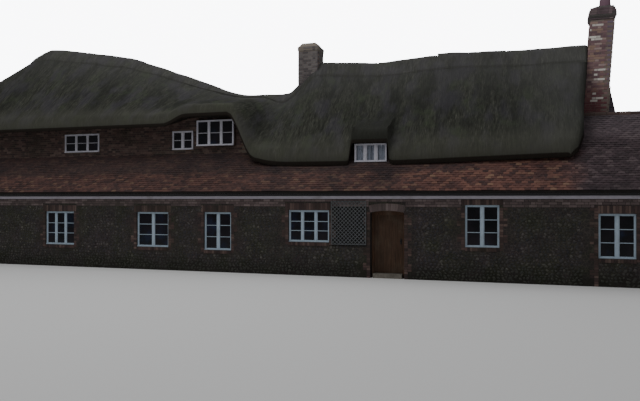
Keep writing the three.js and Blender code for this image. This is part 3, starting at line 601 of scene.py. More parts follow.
def strawTop(x, y):
    isFront = y <= roof["ridgeY"]
    edge = roof["frontY"] if isFront else roof["backY"]
    eaves = curveThrough(roof["front" if isFront else "back"], x)
    height = lerp(eaves, curveThrough(roof["ridge"], x), (y - edge) / (roof["ridgeY"] - edge))
    if isFront:
        fade = roof["lidEase" if x < roof["lidX"] else "lidTight"]
        aside = ease((abs(x - roof["lidX"]) - roof["lidHalf"]) / fade)
        height += roof["lidLift"] * (1 - aside) * (1 - clamp((y - edge) / roof["lidDeep"]))
    if x < roof["hipX"]:
        height = min(height, roof["hipTop"] - roof["hipFall"] * (roof["hipX"] - x))
    return height


def strawFoot(x, y):
    edge = y - roof["frontY"] if y <= roof["ridgeY"] else roof["backY"] - y
    return strawTop(x, y) - lerp(roof["tip"], roof["deep"], clamp(edge / roof["out"]))


def drawIn(x, y):  # the right-hand columns close up to the verge
    start = roof["drawFrom"]
    return x if x <= start else start + (x - start) * (vergeAt(y) - start) / (roof["rightX"] - start)


def rollOff(distance, radius):  # how far a rounded edge has dropped at a distance in from it
    inside = radius - clamp(distance, 0, radius)
    return radius - math.sqrt(radius * radius - inside * inside)


def edgeSteps(length, pitch):  # stations that crowd towards both ends
    close = [0, 0.015, 0.04, 0.075, 0.12, 0.18, 0.26]
    count = max(2, round((length - 0.52) / pitch))
    middle = [0.26 + (length - 0.52) * i / count for i in range(1, count)]
    return close + middle + [length - d for d in reversed(close)]


# Thatch slopes: a fine sheet over the solids' heights, rounded at every free edge and given its thickness
thatch = {
    "pitch": 0.14, "roll": 0.17, "underRoll": 0.03, "lumps": 0.026, "combing": 0.014, "hang": 0.07,
    "lip": 0.08, "lidSteps": [-0.4, -0.15, 0, 0.2, 0.4, 0.6, 0.8, 1, 1.25, 1.6, 2, 2.5],
    "lipSteps": [0.15, 0.18, 0.21, 0.24, 0.26, 0.28, 0.3, 0.33, 0.38],
}


def lidLip(x, inFrom):  # the dormer's lid of straw runs on at both sides and dies into the slope
    aside = abs(x - roof["lidX"])
    fade = ease((aside - 0.5) / 0.06) * (1 - ease((aside - 0.62) / 0.3))
    past = inFrom - lerp(0, 0.27, ease((aside - 0.56) / 0.13))
    return thatch["lip"] * fade * ease(past / 0.03) * (1 - ease(past / 0.5))


def hangAt(x):  # the front eaves sag onto the tiles, away from the dormers
    return thatch["hang"] * ease((x + 0.6) / 0.8) * ease((abs(x - roof["lidX"]) - 0.6) / 0.15)


def layThatch(name, isFront, replaced):
    edge = roof["frontY"] if isFront else roof["backY"]
    deepest = abs(roof["ridgeY"] - edge)
    lidSteps = [roof["lidHalf"] + roof["lidEase"] * t for t in thatch["lidSteps"]]
    lidXs = [roof["lidX"] + way * s for s in lidSteps for way in (-1, 1)]
    xs = [roof["leftX"] + d for d in edgeSteps(roof["rightX"] - roof["leftX"], thatch["pitch"])]
    xs = sorted([x for x in xs if min(abs(x - at) for at in lidXs) > 0.03] + lidXs)
    steps = edgeSteps(deepest + 0.26, thatch["pitch"])
    if isFront:
        steps = sorted([d for d in steps if not 0.13 < d < 0.4] + thatch["lipSteps"])
    steps = [d for d in steps if d < deepest - 0.02] + [deepest]
    bm = bmesh.new()
    below = bm.verts.layers.float.new("below")
    darkLidShadedVerge = bm.verts.layers.float.new("darkLidShadedVerge")
    for v, i, j in addGrid(bm, len(xs), len(steps)):
        inFrom = steps[j] if isFront else steps[len(steps) - 1 - j]
        y = edge + (1 if isFront else -1) * inFrom
        x = drawIn(xs[i], y)
        free = min(x - roof["leftX"], vergeAt(y) - x)
        z = strawTop(x, y)
        quiet = ease(min(inFrom, free) / 0.25)
        z += thatch["lumps"] * noise.noise((x * 0.9, y * 0.9, 0.3)) * quiet
        z += thatch["combing"] * noise.noise((x * 5.5, y * 0.9, 4.1)) * quiet
        if isFront:
            z += lidLip(x, inFrom)
            aside = abs(x - roof["lidX"]) - roof["lidHalf"]
            # darker over the dormer's lid, fading back from the eaves
            v[darkLidShadedVerge] = (1 - ease((aside + 0.05) / 0.25)) * (1 - ease((inFrom - 0.4) / 1.2))
        z -= rollOff(inFrom, thatch["roll"]) + rollOff(free, thatch["roll"] * 0.8)
        v.co = (x, y, z)
        # painted shade along the right-hand verge, with a ragged inner edge
        rim = (vergeAt(y) - x) / (0.24 + 0.14 * noise.noise((y * 1.3, 2.6, 0.4)))
        v[darkLidShadedVerge] = max(v[darkLidShadedVerge], 0.75 * (1 - ease(rim)) * ease(inFrom / 0.6))
    for v in secondSkin(bm):
        v[below] = 1
        x, y = v.co.x, v.co.y
        inFrom = abs(y - edge)
        free = min(x - roof["leftX"], vergeAt(y) - x)
        under = rollOff(max(0, inFrom), thatch["underRoll"]) + rollOff(max(0, free), thatch["underRoll"])
        foot = strawFoot(x, clamp(y, roof["frontY"], roof["backY"])) + under
        v.co.z = min(foot - (hangAt(x) * (1 - ease(inFrom / 0.3)) if isFront else 0), v.co.z - 0.02)
    faceOut(bm)
    addPiece(bm, name, "straw", replaced, smooth=60)


layThatch("thatch_front", True, ["thatch_left_front", "thatch_right_front"])
layThatch("thatch_back", False, ["thatch_left_back", "thatch_right_back"])
print("stage: thatch laid")

# The straw cap over the ridge, in lengths that meet at small notches
cap = {
    "half": 0.56, "thick": 0.08, "round": 0.05, "notch": 0.03, "pitch": 0.11,
    "notches": [-9.4, -6.6, -3.4, 2.9, 5.0, 7.3], "lifts": [0, 0.014, 0, 0.02, 0.02, 0.085, 0.075],
    "across": [0, 0.1, 0.2, 0.35, 0.55, 0.75, 0.9, 0.97, 1],
}


def capTop(x, y):
    side = abs(y - roof["ridgeY"]) / cap["half"]
    lift = cap["thick"] * (0.5 + 0.5 * ease((1 - side) / 0.25))
    lift -= cap["round"] * (1 - ease(side / 0.3))
    lift += 0.024 * noise.noise((x * 1.3, y * 3, 8.2)) + 0.008 * noise.noise((x * 7, y, 2.2))
    lift += cap["lifts"][sum(x > n for n in cap["notches"])] * (1 - ease(side / 0.8))
    if min(abs(x - n) for n in cap["notches"]) < 0.01:
        lift -= cap["notch"] * (1 - ease(side / 0.3))
    return strawTop(x, y) + lift - rollOff(max(0, vergeAt(y) - x), 0.09)


bm = bmesh.new()
below = bm.verts.layers.float.new("below")
xs = [roof["leftX"] + d for d in edgeSteps(roof["rightX"] - roof["leftX"], cap["pitch"])]
xs = sorted(xs + [n + s for n in cap["notches"] for s in (-0.02, 0.0, 0.02)])
across = [-a for a in reversed(cap["across"][1:])] + cap["across"]
for v, i, j in addGrid(bm, len(xs), len(across)):
    wave = 0.05 * noise.noise((xs[i] * 1.1, across[j], 5.5)) if abs(across[j]) > 0.8 else 0
    y = roof["ridgeY"] + across[j] * (cap["half"] + wave - 0.04)
    x = drawIn(xs[i], y)
    v.co = (x, y, capTop(x, y))
for v in secondSkin(bm):
    v[below] = 1
    v.co.z = strawTop(v.co.x, v.co.y) - 0.04
faceOut(bm)
addPiece(bm, "ridge_cap", "strawCap", ["ridge_cap_left", "ridge_cap_right"], smooth=50)
print("stage: ridge capped")

# Plain tiles in rows over the tiled sheets
tiling = {
    "wide": 0.165, "gap": 0.004, "long": 0.265, "gauge": 0.1, "thick": 0.012, "camber": 0.005, "tail": 0.02,
    "lap": 0.024, "eavesY": -3.57, "eavesZ": 2.565, "slope": 0.859, "ridgeY": -0.85, "overhang": 0.015,
    "wave": 0.024, "sway": 0.03, "turn": 0.012, "hole": (2.8, 3.94, -2.64), "ends": (-12.895, 12.895),
    "meet": 9.25,
}
bm = bmesh.new()
bmesh.ops.create_grid(bm, x_segments=2, y_segments=1, size=0.5)
for v in bm.verts:
    x, y, _ = v.co
    rise = tiling["camber"] * (1 - 4 * x * x)
    v.co = (x * (tiling["wide"] - tiling["gap"]), (y + 0.5) * tiling["long"], rise)
bmesh.ops.solidify(bm, geom=bm.faces[:], thickness=-tiling["thick"])
faceOut(bm)
tileShape = keepShape(bm, "tile", "shade")


def layTiles(name, xs, topY, isFront, skip, seed):
    cos = 1 / math.hypot(1, tiling["slope"])
    sin = cos * tiling["slope"]
    way = 1 if isFront else -1
    eavesY = tiling["eavesY"] if isFront else 2 * tiling["ridgeY"] - tiling["eavesY"]
    rows = [[way, 0, 0, 0], [0, way * cos, -way * sin, eavesY], [0, sin, cos, tiling["eavesZ"]], [0, 0, 0, 1]]
    plane = Matrix(rows)
    tilt = Matrix.Rotation(-math.atan(tiling["lap"] / tiling["long"]), 4, "X")
    length = abs(topY - eavesY) / cos
    count = round((xs[1] - xs[0]) / tiling["wide"])
    wide = (xs[1] - xs[0]) / count
    rng = random.Random(seed)
    bm = bmesh.new()
    for row in range(int(length / tiling["gauge"])):
        s = row * tiling["gauge"] - tiling["overhang"]
        halves = row % 2  # every other row starts and ends with a half tile
        for i in range(count + halves):
            isHalf = halves and i in (0, count)
            a = xs[0] + wide * (i + (0 if halves else 0.5))
            if isHalf:
                a += wide / 4 * (1 if i == 0 else -1)
            if skip(a, eavesY + way * s * cos):
                continue
            short = min(1.0, (length - s - 0.01) / tiling["long"])
            sag = tiling["wave"] * noise.noise((a * 0.8, s * 1.6, seed)) + rng.uniform(-0.002, 0.003)
            sway = tiling["sway"] * noise.noise((a * 0.9, s * 0.6, seed + 9)) * min(1, row / 4)
            sway += rng.uniform(-0.003, 0.003)
            spot = Matrix.Translation((way * a, s + sway, tiling["tail"] + sag))
            turn = Matrix.Rotation(rng.uniform(-tiling["turn"], tiling["turn"]), 4, "Z")
            size = Matrix.Diagonal(((0.5 if isHalf else 1.0) * wide / tiling["wide"], short, 1, 1))
            stamp(bm, tileShape, plane @ spot @ turn @ tilt @ size, {"shade": rng.random()})
    addPiece(bm, name, "tileClay")


def underDormer(x, y):
    x0, x1, y0 = tiling["hole"]
    return x0 < x < x1 and y > y0


def noSkip(x, y):
    return False


def behindStack(x, y):
    return x < 10.66 and y < 0.95


(left, right), meet, ridge = tiling["ends"], tiling["meet"], tiling["ridgeY"]
layTiles("lean_to_tiling", (left, meet), -2.05, True, underDormer, 3)
layTiles("extension_tiling_front", (meet, right), ridge, True, noSkip, 5)
layTiles("extension_tiling_back", (meet, right), ridge, False, behindStack, 7)

# Half-round ridge tiles, each lapped at one end
ridgeTile = {
    "radius": 0.122, "lap": 0.004, "thick": 0.014, "long": 0.335, "gap": 0.008, "z": 4.82, "x": (9.26, 12.9),
}
x0, x1 = ridgeTile["x"]
count = round((x1 - x0) / ridgeTile["long"])
long = (x1 - x0) / count
bm = bmesh.new()
bmesh.ops.create_grid(bm, x_segments=2, y_segments=10, size=0.5)
for v in bm.verts:
    angle = (0.5 - v.co.y) * math.pi
    radius = ridgeTile["radius"] + (ridgeTile["lap"] if v.co.x > 0.4 else 0)
    v.co = (v.co.x * (long - ridgeTile["gap"]), math.cos(angle) * radius, math.sin(angle) * radius)
bmesh.ops.solidify(bm, geom=bm.faces[:], thickness=-ridgeTile["thick"])
faceOut(bm)
shape = keepShape(bm, "ridgeTile", "shade")
bm = bmesh.new()
rng = random.Random(11)
for i in range(count):
    place = (x0 + long * (i + 0.5), tiling["ridgeY"], ridgeTile["z"] + rng.uniform(-0.004, 0.004))
    stamp(bm, shape, Matrix.Translation(place), {"shade": rng.random()})
addPiece(bm, "ridge_tiles", "ridgeClay", ["extension_ridge_tiles"], smooth=40)
print("stage: roofs tiled")

# Masonry: flints in rough courses, and bricks round openings, at corners and over whole faces
flints = {
    "wide": (0.05, 0.15), "tall": (0.055, 0.09), "uneven": 0.35, "drift": 0.022, "turn": 0.9, "tip": 0.2,
    "wave": 0.05, "thick": (0.022, 0.038), "joint": 0.01, "sink": 0.006, "kinds": 6, "rough": (0.86, 1.12),
    "from": 0.03,
}
bricks = {
    "long": 0.215, "short": 0.1025, "tall": 0.065, "course": 0.075, "thick": 0.03, "joint": 0.01,
    "bevel": 0.004, "proud": 0.006, "stagger": 0.165, "uneven": 0.002, "lean": 0.006,
}
sill = {"tall": 0.1025, "out": 0.012, "gap": 0.006}
band = {"foot": 2.105, "top": 2.335, "heads": 2.325}
jamb, quoin = (0.215, 0.3275), (0.3275, 0.44)  # narrow and wide courses of a block-bonded edge
flintShapes = []
rng = random.Random(21)
for i in range(flints["kinds"]):
    bm = bmesh.new()
    bmesh.ops.create_icosphere(bm, subdivisions=1, radius=0.5)
    for v in bm.verts:
        v.co *= rng.uniform(*flints["rough"])
    flintShapes.append(keepShape(bm, f"flint_{i}", "shade"))
bm = bmesh.new()
size = (bricks["long"], bricks["thick"], bricks["tall"])
addBox(bm, [-s / 2 for s in size], [s / 2 for s in size], bricks["bevel"])
brickShape = keepShape(bm, "brick", "shade", "pale")


def toothWidth(z, z0, widths):  # block-bonded edge: three courses narrow, three wide
    return widths[int((z - z0) / (3 * bricks["course"])) % 2]


def covered(wall, a, z, wide, tall):  # whether a stone there would meet an opening or its bricks
    for a0, a1, z0, z1 in wall["openings"]:
        if a0 - wide < a < a1 + wide and z0 - sill["tall"] - 0.015 - tall < z < z1 + tall + 0.01:
            return True
        if a0 - wide < a < a1 + wide and z1 <= z + tall and z - tall < z1 + bricks["long"] + 0.02:
            return True
    for a0, a1, z0, z1 in wall["clear"]:
        if a0 - wide < a < a1 + wide and z0 - tall < z < z1 + tall:
            return True
    for edge, way, z0, z1, widths in wall["jambs"]:
        reach = max(toothWidth(z - tall, z0, widths), toothWidth(z + tall, z0, widths)) + 0.012
        if z0 - tall < z < z1 + tall and -wide < (a - edge) * way < reach + wide:
            return True
    return False


def fits(wall, a, z, wide, tall):
    for end in (a - wide, a + wide):
        if not wall["span"][0] <= end <= wall["span"][1]:
            return False
        if z + tall > wall["high"](end) or z - tall < wall["low"](end):
            return False
    return True


def layFlints(bm, wall, rng):
    plane, way = facing(wall["side"], wall["at"])
    z = flints["from"]
    while z < wall["top"]:
        tall = rng.uniform(*flints["tall"])
        a = wall["span"][0] + rng.uniform(0, 0.08)
        while a < wall["span"][1]:
            wide = rng.uniform(*flints["wide"])
            own = tall * (1 + rng.uniform(-1, 1) * flints["uneven"])
            rise = flints["wave"] * noise.noise((a * 1.1, z * 0.8, 3.3))
            rise += rng.uniform(-1, 1) * flints["drift"]
            at = (a + wide / 2, z + tall / 2 + rise)
            if fits(wall, *at, wide / 2, own / 2) and not covered(wall, *at, wide / 2, own / 2):
                spot = Matrix.Translation((way * at[0], flints["sink"], at[1]))
                turn = Matrix.Rotation(rng.uniform(-1, 1) * flints["turn"], 4, "Y")
                turn = turn @ Matrix.Rotation(rng.uniform(-flints["tip"], flints["tip"]), 4, "Z")
                size = Matrix.Diagonal((wide * 1.04, rng.uniform(*flints["thick"]), own * 1.06, 1))
                stamp(bm, rng.choice(flintShapes), plane @ spot @ turn @ size, {"shade": rng.random()})
            a += wide + flints["joint"]
        z += tall + flints["joint"]


def layBrick(bm, face, a0, a1, z0, z1, rng, out=0.0, pale=0.0):
    plane, way = face
    inward = bricks["thick"] / 2 - bricks["proud"] - out + rng.uniform(-bricks["uneven"], bricks["uneven"])
    middle = Matrix.Translation(((a0 + a1) / 2 * way, inward, (z0 + z1) / 2))
    size = Matrix.Diagonal(((a1 - a0) / bricks["long"], 1, (z1 - z0) / bricks["tall"], 1))
    lean = Matrix.Rotation(rng.uniform(-bricks["lean"], bricks["lean"]), 4, "Y")
    stamp(bm, brickShape, plane @ middle @ lean @ size, {"shade": rng.random(), "pale": pale})


def layDressings(bm, wall, rng):
    face = facing(wall["side"], wall["at"])
    long, short, tall, joint = bricks["long"], bricks["short"], bricks["tall"], bricks["joint"]
    bonds = {  # two courses in turn, in a narrow part and in a wide one
        jamb: [([short], [short]), ([long], [short, short])],
        quoin: [([long, short], [short, long]), ([long, long], [short, long, short])],
    }
    for edge, way, z0, z1, widths in wall["jambs"]:
        course, z = 0, z0
        while z + tall <= z1 + 0.02:
            a = edge
            for w in toothWidth(z + 0.01, z0, bonds[widths])[course % 2]:
                layBrick(bm, face, *sorted((a, a + way * w)), z, z + tall, rng)
                a += way * w + way * joint
            z += tall + joint
            course += 1
    for a0, a1, z0, z1 in wall["openings"]:
        head = min(long, wall["heads"] - z1 - joint)
        foot = z0 - sill["gap"]
        for start, end, low, high, out in (
            (a0 - 0.1, a1 + 0.1, z1 + 0.006, z1 + head, 0.0),
            (a0, a1, foot - sill["tall"], foot, sill["out"]),
        ):
            count = round((end - start) / bricks["course"])
            pitch = (end - start) / count
            for i in range(count):
                a = start + pitch * i
                layBrick(bm, face, a + joint / 2, a + pitch - joint / 2, low, high, rng, out)


def freeSpans(wall, z0, z1):  # the lengths of a course that no opening breaks
    spans = [wall["span"]]
    for a0, a1, foot, head in wall["openings"]:
        if z1 > foot and z0 < head:
            parts = [(s, min(e, a0)) for s, e in spans] + [(max(s, a1), e) for s, e in spans]
            spans = [(s, e) for s, e in parts if e - s > 0.03]
    return spans


def layCourses(bm, wall, rng):  # a whole face in alternate long and short bricks
    face = facing(wall["side"], wall["at"])
    tall, joint = bricks["tall"], bricks["joint"]
    course, z = 0, wall["foot"]
    while z + tall < wall["top"]:
        for start, end in freeSpans(wall, z, z + tall):
            a, i = start - (course % 2) * bricks["stagger"], 0
            while a < end:
                wide = bricks["short" if i % 2 else "long"]
                a0, a1 = max(a, start), min(a + wide, end)
                middle, half = (a0 + a1) / 2, (a1 - a0) / 2
                if half > 0.018 and fits(wall, middle, z + tall / 2, half, tall / 2):
                    pale = wall["pale"](middle, z, rng) if wall["pale"] else 0.0
                    out = wall["out"] - wall["draw"] * (z - wall["foot"])
                    layBrick(bm, face, a0, a1, z, z + tall, rng, out, pale)
                a += wide + joint
                i += 1
        z += tall + joint
        course += 1


def flat(height):
    return lambda a: height


def tilePlane(y):
    front = y if y < tiling["ridgeY"] else 2 * tiling["ridgeY"] - y
    return tiling["eavesZ"] + tiling["slope"] * (front - tiling["eavesY"])


def endHigh(y):
    return tilePlane(y) - 0.095 if y < faces["upper"] else strawFoot(faces["left"], y) + 0.03


def wallOf(side, at, span, top, low, high, **more):
    plain = {"openings": (), "clear": (), "jambs": (), "heads": 3.0, "pale": None, "out": 0.0, "draw": 0.0}
    return {**plain, "side": side, "at": at, "span": span, "top": top, "low": low, "high": high, **more}


def jambsOf(openings, limit):
    edges = [(edge, way, z0, z1) for a0, a1, z0, z1 in openings for edge, way in ((a0, -1), (a1, 1))]
    return [(edge, way, z0 - bricks["course"], min(z1, limit), jamb) for edge, way, z0, z1 in edges]


faces = {
    "front": -3.45, "upper": -2.05, "back": 3.15, "rear": 1.75, "left": -12.65, "gable": 9.25, "right": 12.6,
}
front, upper, back, rear, left, gable, right = faces.values()
openings = {  # first and last X, foot and head
    "front": [
        (-8.1, -6.9, 0.75, 1.9), (-4.4, -3.2, 0.75, 1.9), (-1.9, -0.94, 0.7, 1.91), (1.0, 2.31, 1.02, 1.99),
        (6.32, 7.26, 0.97, 2.16),
    ],
    "extension": [(9.8, 10.72, 0.75, 1.94)],
    "back": [(-8.2, -7.0, 0.85, 1.95), (-2.6, -1.4, 0.85, 1.95), (4.7, 5.9, 0.85, 1.95)],
    "upper": [(-2.85, -1.45, 4.15, 5.03), (-3.86, -3.05, 4.05, 4.7), (-8.4, -6.9, 4.05, 4.72)],
}
doorway = (3.53, 4.64, 0, 2.2)
doorJambs = [(3.578, -1, 0.0, 1.93, jamb), (4.592, 1, 0.0, 1.93, jamb)]
low, underBand, jambTop = flat(0.02), flat(band["foot"] - 0.01), band["foot"] - 0.02
walls = {
    "front": wallOf(
        "front", front, (left, 9.46), band["foot"], low, underBand, openings=openings["front"],
        heads=band["heads"], clear=[doorway],
        jambs=[*jambsOf(openings["front"], jambTop), *doorJambs, (left, 1, 0.0, jambTop, quoin)],
    ),
    "extension_front": wallOf(
        "front", front, (9.8, right), band["foot"], low, underBand, openings=openings["extension"],
        heads=band["heads"],
        jambs=[
            (9.8, -1, 0.0, jambTop, jamb), (10.72, 1, 0.675, 1.94, jamb), (right, -1, 0.0, jambTop, quoin),
        ],
    ),
    "back": wallOf(
        "back", back, (left, gable), 5.6, low, lambda x: strawFoot(x, back) + 0.03, openings=openings["back"],
        jambs=[*jambsOf(openings["back"], 3.0), (left, 1, 0.0, 4.5, quoin), (gable, -1, 0.0, 3.9, quoin)],
    ),
    "left_end": wallOf(
        "left", left, (front, back), 7.2, low, endHigh,
        jambs=[(front, 1, 0.0, 2.5, quoin), (back, -1, 0.0, 4.5, quoin)],
    ),
    "extension_end": wallOf(
        "right", right, (front, rear), 4.9, low, lambda y: tilePlane(y) - 0.095,
        jambs=[(front, 1, 0.0, 2.5, quoin), (rear, -1, 0.0, 2.5, quoin)],
    ),
    "extension_back": wallOf(
        "back", rear, (9.26, right), 2.6, low, flat(2.58), jambs=[(right, -1, 0.0, 2.5, quoin)],
    ),
}
for i, (name, wall) in enumerate(walls.items()):
    rng = random.Random(100 + i)
    dressing, stones = bmesh.new(), bmesh.new()
    layDressings(dressing, wall, rng)
    addPiece(dressing, f"{name}_bricks", "brickRed")
    layFlints(stones, wall, rng)
    addPiece(stones, f"{name}_flints", "flint", smooth=75)
print("stage: flint walls laid")

lower = openings["front"] + openings["extension"]
heads = [(a0 - 0.105, a1 + 0.105, z1, min(z1 + 0.22, 2.33)) for a0, a1, z0, z1 in lower]
brickWalls = {
    "fascia_band": wallOf(
        "front", front, (left, right), band["top"], flat(0), flat(9), foot=band["foot"],
        openings=[doorway, *lower, *heads],
    ),
    "upper_left": wallOf(
        "front", upper, (-12.3, -1.2), 6.1, flat(3.8), lambda x: strawFoot(x, upper) + 0.06, foot=3.86,
        openings=openings["upper"],
    ),
    "gable": wallOf(
        "right", gable, (upper, back), 7.0, lambda y: tilePlane(y) - 0.08 if y < 1.85 else 0.0,
        lambda y: strawFoot(gable, y) + 0.05, foot=0.03,
    ),
}
for i, (name, wall) in enumerate(brickWalls.items()):
    bm = bmesh.new()
    layCourses(bm, wall, random.Random(200 + i))
    addPiece(bm, f"{name}_bricks", "brickBand" if name == "fascia_band" else "brickRed")

# Chimney stacks: courses round the shafts and their oversailing heads
stackY = (0.18, 0.9)
shafts = {
    "left_stack": {
        "x": (0.0, 0.75), "foot": 5.9, "top": 7.71, "draw": 0.005, "lean": 0.0, "finish": "brickOld",
        "head": [(7.72, 0.006), (7.8, 0.012)], "headFinish": "brickOld",
    },
    "right_stack": {
        "x": (9.68, 10.4), "foot": 5.045, "top": 8.02, "draw": 0.0017, "lean": 0.22, "finish": "brickStack",
        "head": [(8.03, 0.012), (8.105, 0.034), (8.18, 0.04), (8.255, 0.028), (8.33, 0.014)],
        "headFinish": "brickHead",
    },
}
# Lime-washed patches on the right-hand shaft: first and last X, height, and the share of bricks
patches = [
    (9.96, 10.24, 7.8, 0.8), (9.92, 10.16, 7.42, 0.8), (9.98, 10.3, 6.4, 0.9), (9.94, 10.2, 6.25, 0.7),
    (9.98, 10.24, 6.1, 0.8), (9.9, 10.12, 5.66, 0.8), (9.95, 10.25, 5.5, 0.8),
]
breast = {
    "x": (9.26, 10.632), "foot": 3.9, "top": 5.05, "left": 9.69, "leftTop": (5.9, 6.15),
    "shoulder": (10.455, 5.88),
}


def leanBy(shaft, z):
    return shaft["lean"] * clamp((z - shaft["foot"]) / (shaft["top"] - shaft["foot"]))


def leanOver(bm, shaft):
    for v in bm.verts:
        v.co.x += leanBy(shaft, v.co.z)


def whitened(a, z, rng):
    x = a + leanBy(shafts["right_stack"], z)
    share = max([s for x0, x1, at, s in patches if x0 < x < x1 and abs(z - at) < 0.05] + [0.02])
    return rng.uniform(0.55, 1.0) if rng.random() < share else 0.0


def fourSides(xs, ys):
    return [("front", ys[0], xs), ("back", ys[1], xs), ("left", xs[0], ys), ("right", xs[1], ys)]


def layShaft(name, shaft, courses, look):
    rng = random.Random(len(name) + len(courses))
    bm = bmesh.new()
    for side, at, (a0, a1) in fourSides(shaft["x"], stackY):
        for foot, top, out in courses:
            more = {"foot": foot, "out": out, "draw": 0.0 if out else shaft["draw"]}
            if side == "front" and shaft["lean"]:
                more["pale"] = whitened
            wall = wallOf(side, at, (a0 - out, a1 + out), top, flat(foot - 0.1), flat(top + 0.1), **more)
            layCourses(bm, wall, rng)
    leanOver(bm, shaft)
    addPiece(bm, name, look)


for name, shaft in shafts.items():
    head = [(z, z + 0.07, out) for z, out in shaft["head"]]
    layShaft(f"{name}_bricks", shaft, [(shaft["foot"], shaft["top"], 0.0)], shaft["finish"])
    layShaft(f"{name}_head_bricks", shaft, head, shaft["headFinish"])

# The right-hand stack's broad base against the gable, and the shoulder on its right
bm = bmesh.new()
rng = random.Random(41)
for side, at, span in fourSides(breast["x"], stackY):
    if side != "left":
        layCourses(bm, wallOf(side, at, span, breast["top"], flat(0), flat(9), foot=breast["foot"]), rng)
z0, z1 = breast["leftTop"]
span = (breast["x"][0], breast["left"])
rise = (z1 - z0) / (span[1] - span[0])
ends = (("front", stackY[0]), ("back", stackY[1]))
for side, at in ends:
    wall = wallOf(side, at, span, z1, flat(0), lambda x: z0 + rise * (x - span[0]), foot=breast["top"])
    layCourses(bm, wall, rng)
addPiece(bm, "breast_bricks", "brickMossy")
bm = bmesh.new()
shaft, (shoulderX, shoulderZ) = shafts["right_stack"], breast["shoulder"]
for side, at in ends:
    z = breast["top"]
    while z < shoulderZ:
        t = (z + bricks["course"] - breast["top"]) / (shoulderZ + bricks["joint"] - breast["top"])
        x0 = shaft["x"][1] + leanBy(shaft, z) + 0.03
        x1 = lerp(breast["x"][1], shoulderX, t)
        if x1 - x0 > 0.02:
            layBrick(bm, facing(side, at), x0, x1, z, z + bricks["tall"], rng)
        z += bricks["tall"] + bricks["joint"]
addPiece(bm, "shoulder_bricks", "brickDark")
bm = bmesh.new()
for y0, y1 in ((stackY[0] - 0.012, stackY[0] + 0.02), (stackY[1] - 0.02, stackY[1] + 0.012)):
    addBox(bm, (shaft["x"][1] + 0.004, y0, shaft["foot"]), (shaft["x"][1] + 0.028, y1, shoulderZ), 0.004)
leanOver(bm, shaft)
addPiece(bm, "shoulder_mortar", "stackMortar")

# The chimney pot: a turned profile
pot = {
    "at": (10.352, 0.54, 8.4803), "steps": 40,
    "profile": [
        (0.15, 0), (0.185, 0), (0.184, 0.03), (0.172, 0.12), (0.15, 0.36), (0.16, 0.372), (0.172, 0.385),
        (0.172, 0.43), (0.135, 0.43), (0.118, 0.34), (0.125, 0.12),
    ],
}
bm = bmesh.new()
ring = [bm.verts.new((r, 0, z)) for r, z in pot["profile"]]
edges = [bm.edges.new((a, b)) for a, b in zip(ring, ring[1:] + ring[:1])]
turn = {"axis": (0, 0, 1), "cent": (0, 0, 0), "steps": pot["steps"], "angle": math.tau, "use_merge": True}
bmesh.ops.spin(bm, geom=ring + edges, **turn)
bmesh.ops.remove_doubles(bm, verts=bm.verts[:], dist=1e-5)
faceOut(bm)
bmesh.ops.translate(bm, vec=pot["at"], verts=bm.verts[:])
addPiece(bm, "chimney_pot", "potClay", ["right_stack_pot"], smooth=35)

# The arch over the front door: bricks on end, fanned about the arch's centre, and a board that fills its head
arch = {
    "middle": 4.085, "half": 0.507, "rise": 0.055, "deep": 0.215, "spring": 1.93, "bricks": 15,
    "brick": 0.063, "gap": 0.004, "boardY": -3.262, "board": 0.025, "boardGap": 0.003, "boardSteps": 12,
}
radius = (arch["half"] ** 2 + arch["rise"] ** 2) / (2 * arch["rise"])
centreZ = arch["spring"] + arch["rise"] - radius
sweep = math.asin(arch["half"] / radius)
bm = bmesh.new()
rng = random.Random(31)
for i in range(arch["bricks"]):
    angle = -sweep + 2 * sweep * (i + 0.5) / arch["bricks"]
    spin = Matrix.Translation((arch["middle"], 0, centreZ)) @ Matrix.Rotation(angle, 4, "Y")
    half, foot, head = arch["brick"] / 2, radius + arch["gap"], radius + arch["deep"] - arch["gap"]
    layBrick(bm, (facing("front", front)[0] @ spin, 1), -half, half, foot, head, rng)
addPiece(bm, "door_arch_bricks", "brickBand")
bm = bmesh.new()
foot, reach = arch["spring"] - arch["boardGap"], radius - arch["boardGap"]
outline = [(arch["middle"] + way * (arch["half"] - 0.004), foot) for way in (1, -1)]
for i in range(arch["boardSteps"] + 1):
    angle = -sweep * 0.985 + 2 * sweep * 0.985 * i / arch["boardSteps"]
    outline.append((arch["middle"] + math.sin(angle) * reach, centreZ + math.cos(angle) * reach))
bm.faces.new([bm.verts.new((x, arch["boardY"], z)) for x, z in outline])
bmesh.ops.translate(bm, vec=(0, arch["board"], 0), verts=secondSkin(bm))
faceOut(bm)
addPiece(bm, "door_head_board", "frameOak")
print("stage: brickwork laid")

